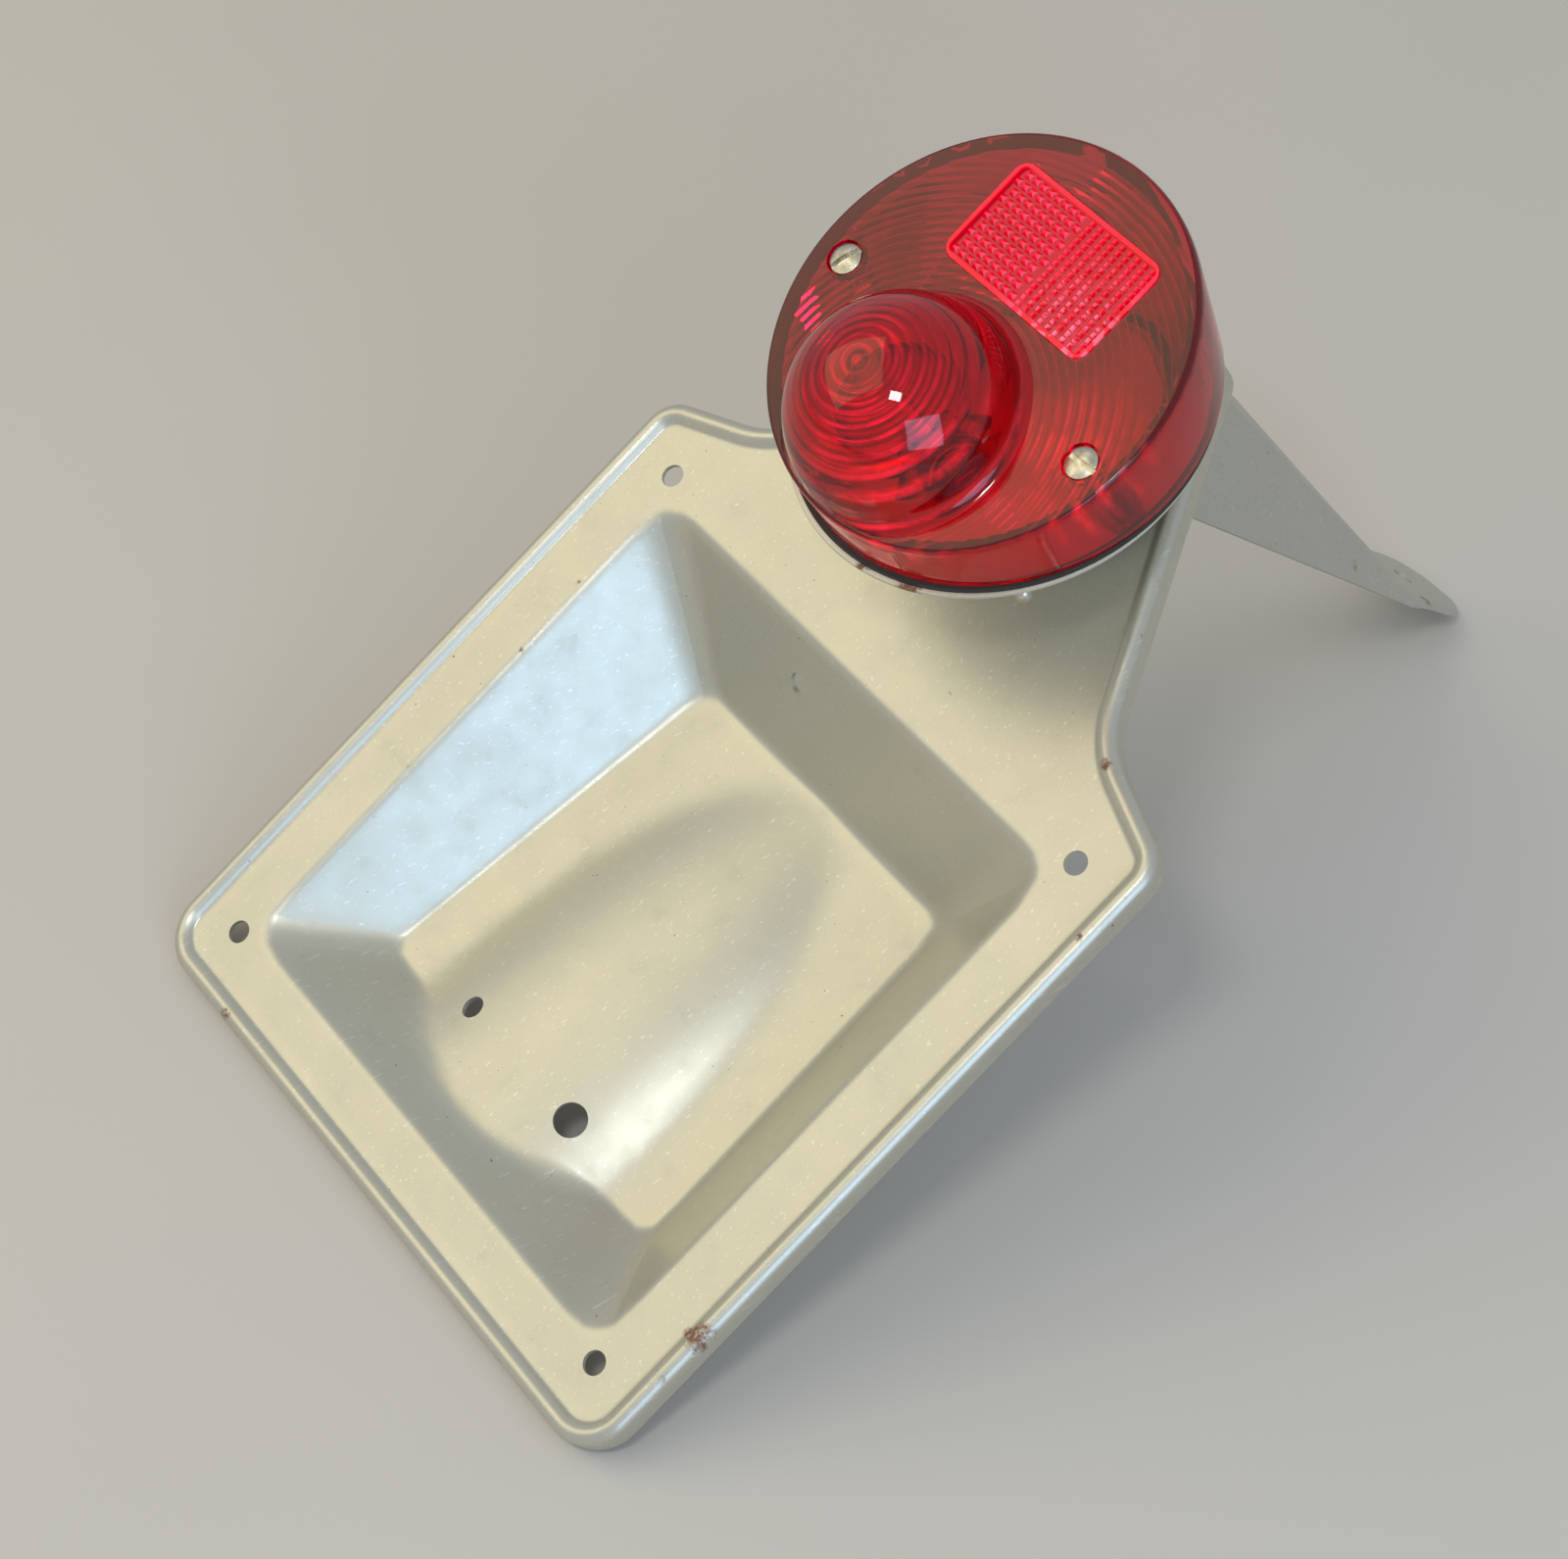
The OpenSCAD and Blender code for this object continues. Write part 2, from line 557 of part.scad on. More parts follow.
// Strap that carries the socket: a foot riveted to the housing, a riser and a ring.
rivet_r = 1.2;
strap_foot = 9;
strap_w = 2 * bolt_x - 1.85 * bolt_d - 1;
rivet_x = strap_w / 2 - 3;
riser_y = bulb_y + flange_r + 1.5;
foot_mid_y = riser_y + strap_t + strap_foot / 2;
ring_z = flange_z - seat_gap - strap_t;
socket_rivet_x = socket_out_r + 1.9;
socket_rivet_r = 0.8;

module socket_bracket() {
    color("gainsboro") at_rest() difference() {
        union() {
            translate([-strap_w / 2, riser_y, floor_z + seat_gap])
                cube([strap_w, strap_foot + strap_t, strap_t]);
            translate([-strap_w / 2, riser_y, floor_z + seat_gap])
                cube([strap_w, strap_t, ring_z - floor_z + strap_t - seat_gap]);
            translate([-strap_w / 2, bulb_y, ring_z]) cube([strap_w, riser_y - bulb_y + strap_t, strap_t]);
            translate([0, bulb_y, ring_z]) cylinder(h = strap_t, r = flange_r);
        }
        translate([0, bulb_y, 0]) cylinder(h = 40, r = socket_out_r + seat_gap);
        for (x = [-1, 1]) {
            translate([x * rivet_x, foot_mid_y, 0]) cylinder(h = floor_z + 4, r = rivet_r);
            translate([x * socket_rivet_x, bulb_y, ring_z - 1]) cylinder(h = 5, r = socket_rivet_r);
        }
    }
}

module rivet(z0, z1, r) {
    head = 0.7 * r;
    translate([0, 0, z0]) cylinder(h = z1 - z0, r = r - seat_gap);
    translate([0, 0, z1]) cylinder(h = head, r1 = 1.7 * r, r2 = 1.1 * r);
}

module bracket_rivets() {
    color("silver") at_rest() for (x = [-1, 1])
        translate([x * rivet_x, foot_mid_y, 0]) rivet(back_z + seat_gap, floor_z + strap_t + 2 * seat_gap, rivet_r);
}

module bulb_socket() {
    slot_w = 2 * pin_r + 0.6;
    slot_low = pin_z - push_travel - slot_w / 2;
    half_angle = asin(slot_w / 2 / socket_in_r);
    entry_angle = half_angle - 1;
    hook = 24;
    color("gold") at_rest() translate([0, bulb_y, 0]) difference() {
        union() {
            translate([0, 0, socket_z]) cylinder(h = socket_top - socket_z, r = socket_out_r);
            translate([0, 0, flange_z]) cylinder(h = flange_t, r = flange_r);
        }
        translate([0, 0, socket_z - 1]) cylinder(h = 40, r = socket_in_r);
        for (side = [90, 270]) {
            wedge(side - half_angle, side + hook + half_angle, slot_low, push_travel + slot_w);
            wedge(side + hook - entry_angle, side + hook + entry_angle, slot_low + 1, 20);
        }
        for (x = [-1, 1]) translate([x * socket_rivet_x, 0, flange_z - 1]) cylinder(h = 3, r = socket_rivet_r);
    }
}

// One cut through the socket's wall between two angles.
module wedge(start, end, z, h) {
    reach = 3 * socket_out_r;
    translate([0, 0, z]) linear_extrude(h)
        polygon([[0, 0], reach * [cos(start), sin(start)], reach * [cos(end), sin(end)]]);
}

module socket_rivets() {
    color("silver") at_rest() for (x = [-1, 1])
        translate([x * socket_rivet_x, bulb_y, 0])
            rivet(ring_z, flange_z + flange_t + seat_gap, socket_rivet_r);
}

module socket_base() {
    tag_x = 3.5;
    color("saddlebrown") at_rest() translate([0, bulb_y, socket_z]) difference() {
        cylinder(h = base_disc_t, r = socket_in_r - seat_gap);
        for (x = [-tag_x, tag_x]) translate([x - 1.1, -0.6, -1]) cube([2.2, 1.2, 4]);
    }
}

module terminal_tags() {
    tag_x = 3.5;
    tag_drop = 2.5;
    color("gold") at_rest() for (x = [-tag_x, tag_x]) translate([x, bulb_y, 0]) {
        translate([-1, -0.5, socket_z - tag_drop]) cube([2, 1, tag_drop + base_disc_t]);
    }
}

module contact_plunger() {
    color("saddlebrown") at_rest() translate([0, bulb_y, plunger_z])
        cylinder(h = plunger_t, r = socket_in_r - 0.1);
}

module contact_studs() {
    color("gold") at_rest() for (x = [-3, 3])
        translate([x, bulb_y, plunger_z + plunger_t + 0.01]) cylinder(h = stud_h - 0.01, r = 1.4);
}

// Contact spring: one tube wound at a steady rate, drawn at its pushed-in length.
spring_r = 5.2;
spring_rings = 8;
function spring_centre(a) =
    let (pitch = (spring_z1 - spring_z0 - spring_wire) / spring_turns)
    [spring_r * cos(a), spring_r * sin(a), spring_z0 + spring_wire / 2 + pitch * a / 360];
spring_gap = (spring_z1 - spring_z0 - spring_wire) / spring_turns - spring_wire;
echo(spring_gap = spring_gap);

module contact_spring() {
    sides = 6;
    count = floor(spring_turns * spring_rings);
    points = [for (k = [0 : count]) let (a = 360 * k / spring_rings, c = spring_centre(a))
        each [for (i = [0 : sides - 1]) let (b = 360 * i / sides)
            c + spring_wire / 2 * [cos(a) * cos(b), sin(a) * cos(b), sin(b)]]];
    faces = concat([[for (i = [sides - 1 : -1 : 0]) i]], [[for (i = [0 : sides - 1]) count * sides + i]],
        [for (k = [0 : count - 1], i = [0 : sides - 1]) let (j = (i + 1) % sides)
            each [[k * sides + i, k * sides + j, (k + 1) * sides + j],
                [k * sides + i, (k + 1) * sides + j, (k + 1) * sides + i]]]);
    color("silver") at_rest() translate([0, bulb_y, 0]) polyhedron(points, faces, convexity = 6);
}

module bulb_cap() {
    color("gold") at_rest() translate([0, bulb_y, cap_z]) difference() {
        cylinder(h = cap_h, d = cap_d);
        translate([0, 0, 1.2]) cylinder(h = cap_h, d = cap_d - 1);
        for (x = [-3, 3]) translate([x, 0, -1]) cylinder(h = 4, r = 1.75);
        translate([0, 0, pin_z - cap_z]) rotate([90, 0, 0]) cylinder(h = 30, r = pin_r + seat_gap, center = true);
    }
}

module bulb_pins() {
    color("gold") at_rest() translate([0, bulb_y, pin_z]) for (side = [-1, 1])
        rotate([-90 * side, 0, 0]) translate([0, 0, cap_d / 2 - 0.6]) cylinder(h = 1.8, r = pin_r);
}

module cap_insulator() {
    color("black") at_rest() translate([0, bulb_y, cap_z]) for (x = [-3, 3])
        translate([x, 0, 0]) difference() {
            cylinder(h = 1.2, r = 1.7);
            translate([0, 0, -1]) cylinder(h = 4, r = 1.15);
        }
}

module bulb_contacts() {
    color("silver") at_rest() for (x = [-3, 3]) translate([x, bulb_y, cap_z - contact_h]) {
        cylinder(h = contact_h - 0.02, r = 1.6);
        cylinder(h = contact_h + 1.2, r = 1.1);
    }
}

// Envelope glass: a ball on a neck that is cemented into the cap.
module glass_form(d) {
    neck = cap_d / 2 - 0.8;
    rotate_extrude() intersection() {
        union() {
            translate([0, glass_z]) circle(r = glass_d / 2 - d);
            translate([0, cap_z + 4 + d]) square([neck - d, glass_z - cap_z - 4 - d]);
        }
        square([glass_d, glass_z + glass_d]);
    }
}

module bulb_glass() {
    color([0.9, 0.95, 1, 0.4]) at_rest() translate([0, bulb_y, 0]) difference() {
        glass_form(0);
        glass_form(glass_wall);
    }
}

filament_z = glass_z - 2;
post_x = 3.2;
wire_y = 2.2;
stem_h = 7;
stem_r = 4.6;
module filaments() {
    color("orange") at_rest() translate([0, bulb_y, 0]) for (y = [-wire_y, wire_y])
        translate([0, y, filament_z + y]) rotate([0, 90, 0]) cylinder(h = 2 * post_x - 0.8, r = 0.35, center = true);
}

module filament_posts() {
    base = cap_z + 4 + glass_wall;
    color("dimgray") at_rest() translate([0, bulb_y, 0]) {
        for (x = [-post_x, post_x], y = [-wire_y, wire_y])
            translate([x, y, base + 1]) cylinder(h = filament_z + y - base, r = 0.3);
        translate([0, 0, base + 0.02]) cylinder(h = stem_h, r = stem_r);
    }
}

module inner_reflector() {
    hole_r = flange_r + 1.4;
    lift = housing_top - 2.6;
    color("white") at_rest() difference() {
        intersection() {
            bowl(housing_wall + 0.35, 3);
            on_rim() translate([0, 0, lift]) cylinder(h = 0.8, r = rim_r);
        }
        translate([0, bulb_y, 0]) cylinder(h = 80, r = hole_r);
        for (x = [-screw_x, screw_x]) translate([x, screw_y, 0]) cylinder(h = 80, r = pillar_r + 0.1);
    }
}

module screw_pillars() {
    color("gainsboro") at_rest() difference() {
        intersection() {
            bowl(housing_wall + 0.1, 3);
            for (x = [-screw_x, screw_x]) translate([x, screw_y, floor_z]) cylinder(h = pillar_top - floor_z, r = pillar_r);
        }
        for (x = [-screw_x, screw_x]) translate([x, screw_y, floor_z]) cylinder(h = 60, d = screw_d + 2 * seat_gap);
    }
}

module rim_gasket() {
    color([0.1, 0.1, 0.1]) at_rest() on_rim() translate([0, 0, -rim_gasket_t - seat_gap]) difference() {
        cylinder(h = rim_gasket_t, r = rim_r + 0.1);
        translate([0, 0, -1]) cylinder(h = 5, r = rim_r - 3.4);
    }
}

// Form of the lens between the flat face and the leaning joint, drawn in by d and carried
// past the joint.
module lens_form(d, past) {
    edge = 1;
    hull() {
        translate([0, lamp_y, face_z - 3 - d]) cylinder(h = 3 - edge, r = face_r + edge - d, $fn = 64);
        translate([0, lamp_y, face_z - 1 - d]) cylinder(h = 1, r = face_r - d, $fn = 64);
        on_rim() translate([0, 1, -past]) cylinder(h = 0.2, r = rim_r - d, $fn = 64);
    }
}

// Stepped inside of the dome: each step is a short cylinder, smaller towards the crown.
module dome_core() {
    r = dome_r - dome_wall;
    rotate_extrude() polygon(concat([[0, -4], [r, -4]],
        [for (k = [0 : dome_steps - 1]) let (a = 86 * k / dome_steps, b = 86 * (k + 1) / dome_steps)
            each [[r * cos(a), r * sin(a)], [r * cos(a) - 0.15, r * sin(b)]]],
        [[0, r * sin(86)]]));
}

module reflex_shape(d) {
    corner = reflex_r - d;
    w = reflex_w / 2 - reflex_r;
    h = reflex_h / 2 - reflex_r;
    translate([0, lamp_y + reflex_rise]) union() {
        for (x = [-w, w], y = [-h, h]) translate([x, y]) circle(r = corner);
        square([2 * w + 2 * corner, 2 * h], center = true);
        square([2 * w, 2 * h + 2 * corner], center = true);
    }
}

// The part of the skirt that the clear window fills.
module window_zone(d) {
    angle = window_half_angle - d;
    reach = 70;
    on_rim() translate([0, 0, window_low + d / 4]) linear_extrude(window_h - d / 2)
        polygon([[0, 0], [-reach * sin(angle), -reach * cos(angle)], [reach * sin(angle), -reach * cos(angle)]]);
}

module lens() {
    reflex_seat = 1.6;
    color([0.75, 0.02, 0.05, 0.8]) at_rest() difference() {
        union() {
            lens_form(0, 0);
            translate([0, bulb_y, face_z]) intersection() {
                sphere(r = dome_r);
                translate([0, 0, -1]) cylinder(h = 2 * dome_r, r = 2 * dome_r);
            }
        }
        difference() {
            lens_form(lens_wall, 3);
            for (x = [-screw_x, screw_x])
                translate([x, screw_y, pillar_top + 0.2]) cylinder(h = 40, r = boss_r);
        }
        translate([0, bulb_y, face_z]) dome_core();
        for (x = [-screw_x, screw_x]) translate([x, screw_y, 0]) {
            cylinder(h = 80, d = screw_d + 0.5);
            translate([0, 0, face_z - head_sink - washer_t]) cylinder(h = 10, d = screw_head_d + 1);
            cylinder(h = pillar_top + 0.2, r = boss_r + 0.3);
        }
        translate([0, 0, face_z - reflex_seat]) linear_extrude(5) reflex_shape(-0.1);
        window_zone(0);
    }
}

// Insert with a border and a field of raised prisms: a grid on one half, bars on the other.
module reflex_reflector() {
    cols = 7;
    rows = 7;
    field_w = reflex_w - 3.4;
    field_h = reflex_h - 3.4;
    pitch_x = field_w / 2 / cols;
    pitch_y = field_h / rows;
    base_z = face_z - 1.6 + seat_gap;
    mid_y = lamp_y + reflex_rise;
    color([0.9, 0.05, 0.15]) at_rest() {
        translate([0, 0, base_z]) linear_extrude(1) reflex_shape(0.1);
        translate([0, 0, base_z]) linear_extrude(1.9) difference() {
            reflex_shape(0.1);
            translate([-field_w / 2, mid_y - field_h / 2]) square([field_w, field_h]);
        }
        for (i = [0 : cols - 1], j = [0 : rows - 1])
            translate([-field_w / 2 + (i + 0.5) * pitch_x, mid_y - field_h / 2 + (j + 0.5) * pitch_y, base_z + 0.9])
                rotate(45) cylinder(h = 0.8, r1 = 0.48 * pitch_x * sqrt(2), r2 = 0.15, $fn = 4);
        for (i = [0 : cols])
            translate([(i + 0.5) * field_w / 2 / (cols + 1), mid_y, base_z + 0.95])
                cube([0.5 * pitch_x, field_h - 0.4, 1.4], center = true);
    }
}

module plate_window() {
    color([1, 0.85, 0.85, 0.6]) at_rest() intersection() {
        difference() {
            lens_form(0, 0);
            lens_form(lens_wall, 3);
        }
        window_zone(0.4);
    }
}

module lens_screws() {
    head_z = face_z - head_sink;
    screw_reach = 4.5;
    slot_w = 1.2;
    slot_depth = 1.3;
    slot_turn = [71, 3];
    color("gainsboro") at_rest() for (s = [-1, 1]) translate([s * screw_x, screw_y, 0]) {
        translate([0, 0, head_z]) difference() {
            intersection() {
                cylinder(h = head_h, d = screw_head_d);
                translate([0, 0, head_h - 1.25 * screw_head_d]) sphere(d = 2.5 * screw_head_d);
            }
            rotate(s < 0 ? slot_turn[0] : slot_turn[1]) translate([-screw_head_d, -slot_w / 2, head_h - slot_depth])
                cube([2 * screw_head_d, slot_w, 3]);
        }
        translate([0, 0, pillar_top - screw_reach])
            cylinder(h = head_z - pillar_top + screw_reach + 0.2, d = screw_d);
    }
}

module screw_washers() {
    color("tan") at_rest() for (x = [-screw_x, screw_x])
        translate([x, screw_y, face_z - head_sink - washer_t + 0.02]) difference() {
            cylinder(h = washer_t - 0.04, d = screw_head_d);
            translate([0, 0, -1]) cylinder(h = 3, d = screw_d + 0.3);
        }
}

// Small stud with a round head, square to the housing's wall just below its lip.
stud_r = 1.2;
module at_stud() {
    around = -35;
    below = 5;
    lean = 26;
    at_rest() on_rim() translate([0, -0.6, -below]) rotate(around)
        translate([rim_r - 3.4, 0, 0]) rotate([0, 90 + lean, 0]) children();
}

module rim_stud() {
    head_r = 2;
    color("gainsboro") at_stud() {
        translate([0, 0, -2.2]) cylinder(h = 4, r = stud_r - seat_gap);
        translate([0, 0, 0.6]) cylinder(h = 1, r = head_r);
        translate([0, 0, 1.6]) intersection() {
            sphere(r = head_r);
            cylinder(h = 5, r = 5);
        }
    }
}

plate_carrier();
support_bracket();
bracket_foot();
base_pad();
lamp_housing();
housing_bolts();
housing_washers();
housing_nuts();
cable_grommet();
socket_bracket();
bracket_rivets();
bulb_socket();
socket_rivets();
socket_base();
terminal_tags();
contact_plunger();
contact_studs();
contact_spring();
bulb_cap();
bulb_pins();
cap_insulator();
bulb_contacts();
bulb_glass();
filaments();
filament_posts();
inner_reflector();
screw_pillars();
rim_gasket();
lens();
reflex_reflector();
plate_window();
lens_screws();
screw_washers();
rim_stud();
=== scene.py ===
import json
import math

import bmesh
import bpy
from mathutils import Matrix, Vector


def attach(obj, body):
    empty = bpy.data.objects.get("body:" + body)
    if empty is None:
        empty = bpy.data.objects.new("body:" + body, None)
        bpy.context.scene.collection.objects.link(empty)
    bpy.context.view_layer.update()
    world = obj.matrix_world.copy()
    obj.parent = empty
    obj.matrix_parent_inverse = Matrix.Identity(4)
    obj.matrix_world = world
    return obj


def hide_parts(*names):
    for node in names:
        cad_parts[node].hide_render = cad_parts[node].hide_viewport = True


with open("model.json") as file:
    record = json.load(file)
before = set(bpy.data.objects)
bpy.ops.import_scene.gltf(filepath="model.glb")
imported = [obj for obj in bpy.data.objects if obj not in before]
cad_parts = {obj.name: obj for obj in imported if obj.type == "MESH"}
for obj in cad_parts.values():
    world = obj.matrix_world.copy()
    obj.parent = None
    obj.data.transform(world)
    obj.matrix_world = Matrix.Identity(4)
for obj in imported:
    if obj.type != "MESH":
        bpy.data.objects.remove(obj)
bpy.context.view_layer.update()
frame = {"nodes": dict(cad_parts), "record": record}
print("frame loaded:", len(frame["nodes"]), "nodes")

mm = 0.001
plateMount = [m for m in frame["record"]["mounts"] if m["name"] == "plate_holes"][0]
lean = math.atan2(-plateMount["axis"][1], plateMount["axis"][2])
platePoint = Vector(plateMount["pos_m"]) + Vector(plateMount["axis"]) * 0.6 * mm

# from the panel's own frame in millimetres (X across, Y up, Z out) to the rest pose in metres
toRest = Matrix.Translation(platePoint) @ Matrix.Rotation(lean, 4, "X") @ Matrix.Scale(mm, 4)


def plateFrame(x, y, z):
    return toRest @ Vector((x, y, z))


def meshFrom(name, points, faces, transform=toRest):
    mesh = bpy.data.meshes.new(name)
    mesh.from_pydata([transform @ Vector(p) for p in points], [], faces)
    obj = bpy.data.objects.new(name, mesh)
    bpy.context.scene.collection.objects.link(obj)
    work = bmesh.new()
    work.from_mesh(mesh)
    bmesh.ops.recalc_face_normals(work, faces=work.faces)
    work.to_mesh(mesh)
    work.free()
    return obj


# smooth shading with sharp edges where the faces meet at more than the angle
def softShade(obj, angle=32):
    mesh = obj.data
    work = bmesh.new()
    work.from_mesh(mesh)
    bmesh.ops.remove_doubles(work, verts=work.verts, dist=1e-7)
    bmesh.ops.dissolve_degenerate(work, edges=work.edges, dist=1e-7)
    limit = math.radians(angle)
    for face in work.faces:
        face.smooth = True
    for edge in work.edges:
        edge.smooth = len(edge.link_faces) == 2 and edge.calc_face_angle(0) < limit
    work.to_mesh(mesh)
    work.free()
    return obj


# closed rings of equal length joined into one skin, with fans or plain caps at the ends
def loftRings(name, rings, capStart=True, capEnd=True, transform=toRest):
    n = len(rings[0])
    points = [p for ring in rings for p in ring]
    faces = []
    for k in range(len(rings) - 1):
        for i in range(n):
            j = (i + 1) % n
            faces.append((k * n + i, k * n + j, (k + 1) * n + j, (k + 1) * n + i))
    if capStart:
        faces.append(tuple(range(n)))
    if capEnd:
        faces.append(tuple(range((len(rings) - 1) * n, len(rings) * n)))
    return meshFrom(name, points, faces, transform)


# a profile of (radius, height) turned about an axis; ends on the axis close to a point
def turned(name, profile, place=Matrix.Identity(4), steps=96, transform=toRest):
    points, rows = [], []
    for r, z in profile:
        if r < 1e-6:
            rows.append([len(points)])
            points.append(place @ Vector((0, 0, z)))
        else:
            start = len(points)
            rows.append(list(range(start, start + steps)))
            for i in range(steps):
                a = 2 * math.pi * i / steps
                points.append(place @ Vector((r * math.cos(a), r * math.sin(a), z)))
    faces = []
    loops = list(zip(rows[:-1], rows[1:]))
    if len(rows[0]) > 1 or len(rows[-1]) > 1:
        loops.append((rows[-1], rows[0]))
    for a, b in loops:
        if len(a) == 1 and len(b) == 1:
            continue
        for i in range(steps):
            j = (i + 1) % steps
            if len(a) == 1:
                faces.append((a[0], b[j], b[i]))
            elif len(b) == 1:
                faces.append((a[i], a[j], b[0]))
            else:
                faces.append((a[i], a[j], b[j], b[i]))
    return meshFrom(name, points, faces, transform)


def booleanWith(obj, tool, kind="DIFFERENCE"):
    change = obj.modifiers.new("cut", "BOOLEAN")
    change.operation = kind
    change.solver = "EXACT"
    change.object = tool
    bpy.context.view_layer.update()
    graph = bpy.context.evaluated_depsgraph_get()
    result = bpy.data.meshes.new_from_object(obj.evaluated_get(graph))
    obj.modifiers.clear()
    old = obj.data
    obj.data = result
    bpy.data.meshes.remove(old)
    dropPiece(tool)
    return obj


def dropPiece(obj):
    mesh = obj.data
    bpy.data.objects.remove(obj)
    bpy.data.meshes.remove(mesh)


def joinPieces(name, pieces):
    work = bmesh.new()
    for piece in pieces:
        work.from_mesh(piece.data)
    mesh = bpy.data.meshes.new(name)
    work.to_mesh(mesh)
    work.free()
    obj = bpy.data.objects.new(name, mesh)
    bpy.context.scene.collection.objects.link(obj)
    for piece in pieces:
        dropPiece(piece)
    return obj


# a smooth run through the points, with the given steps between each two
def smoothCurve(points, steps):
    out = []
    for i in range(len(points) - 1):
        p0, p1 = points[max(0, i - 1)], points[i]
        p2, p3 = points[i + 1], points[min(len(points) - 1, i + 2)]
        for s in range(steps):
            t = s / steps
            out.append(tuple(
                0.5 * (2 * b + (c - a) * t + (2 * a - 5 * b + 4 * c - d) * t * t
                       + (3 * b - a - 3 * c + d) * t ** 3)
                for a, b, c, d in zip(p0, p1, p2, p3)))
    out.append(tuple(points[-1]))
    return out


def newMaterial(name):
    mat = bpy.data.materials.new(name)
    mat.use_nodes = True
    tree = mat.node_tree
    return mat, tree.nodes, tree.links, tree.nodes["Principled BSDF"]


def placeCoords(nodes, links, scale=1000.0):
    coords = nodes.new("ShaderNodeTexCoord")
    mapping = nodes.new("ShaderNodeMapping")
    mapping.inputs["Scale"].default_value = (scale, scale, scale)
    links.new(coords.outputs["Object"], mapping.inputs["Vector"])
    return mapping.outputs["Vector"]


def noiseOf(nodes, links, coords, scale, detail=4.0, rough=0.55):
    tex = nodes.new("ShaderNodeTexNoise")
    tex.inputs["Scale"].default_value = scale
    tex.inputs["Detail"].default_value = detail
    tex.inputs["Roughness"].default_value = rough
    links.new(coords, tex.inputs["Vector"])
    return tex.outputs["Fac"]


def rampOf(nodes, links, value, stops):
    ramp = nodes.new("ShaderNodeValToRGB")
    while len(ramp.color_ramp.elements) < len(stops):
        ramp.color_ramp.elements.new(0.5)
    for element, (place, colour) in zip(ramp.color_ramp.elements, stops):
        element.position = place
        element.color = colour if len(colour) == 4 else (*colour, 1)
    links.new(value, ramp.inputs["Fac"])
    return ramp.outputs["Color"]


def mixColour(nodes, links, factor, first, second):
    mix = nodes.new("ShaderNodeMix")
    mix.data_type = "RGBA"
    for socket, value in ((mix.inputs[0], factor), (mix.inputs[6], first), (mix.inputs[7], second)):
        if hasattr(value, "links"):
            links.new(value, socket)
        elif isinstance(value, (int, float)):
            socket.default_value = value
        else:
            socket.default_value = (*value, 1)
    return mix.outputs[2]


def mathOf(nodes, links, kind, first, second=0.0):
    node = nodes.new("ShaderNodeMath")
    node.operation = kind
    for socket, value in ((node.inputs[0], first), (node.inputs[1], second)):
        if hasattr(value, "links"):
            links.new(value, socket)
        else:
            socket.default_value = value
    return node.outputs[0]


def bumpOf(nodes, links, height, strength, distance, below=None):
    bump = nodes.new("ShaderNodeBump")
    bump.inputs["Strength"].default_value = strength
    bump.inputs["Distance"].default_value = distance
    links.new(height, bump.inputs["Height"])
    if below:
        links.new(below, bump.inputs["Normal"])
    return bump.outputs["Normal"]


# 1 at the point, falling to 0 at the radius
def nearPoint(nodes, links, point, radius):
    coords = nodes.new("ShaderNodeTexCoord")
    distance = nodes.new("ShaderNodeVectorMath")
    distance.operation = "DISTANCE"
    links.new(coords.outputs["Object"], distance.inputs[0])
    distance.inputs[1].default_value = point
    fall = nodes.new("ShaderNodeMapRange")
    fall.inputs["From Min"].default_value = radius
    fall.inputs["From Max"].default_value = 0.0
    links.new(distance.outputs["Value"], fall.inputs["Value"])
    return fall.outputs["Result"]


# worn silver paint: fine flake, faint scratches, dirt in the creases and rust where it is chipped
silverLook = {"paint": (0.60, 0.575, 0.475), "dull": (0.46, 0.44, 0.36), "metallic": 0.70,
              "rough": 0.34, "scratch": (0.84, 0.83, 0.78), "rust": (0.30, 0.12, 0.045),
              "rustDark": (0.10, 0.045, 0.025)}


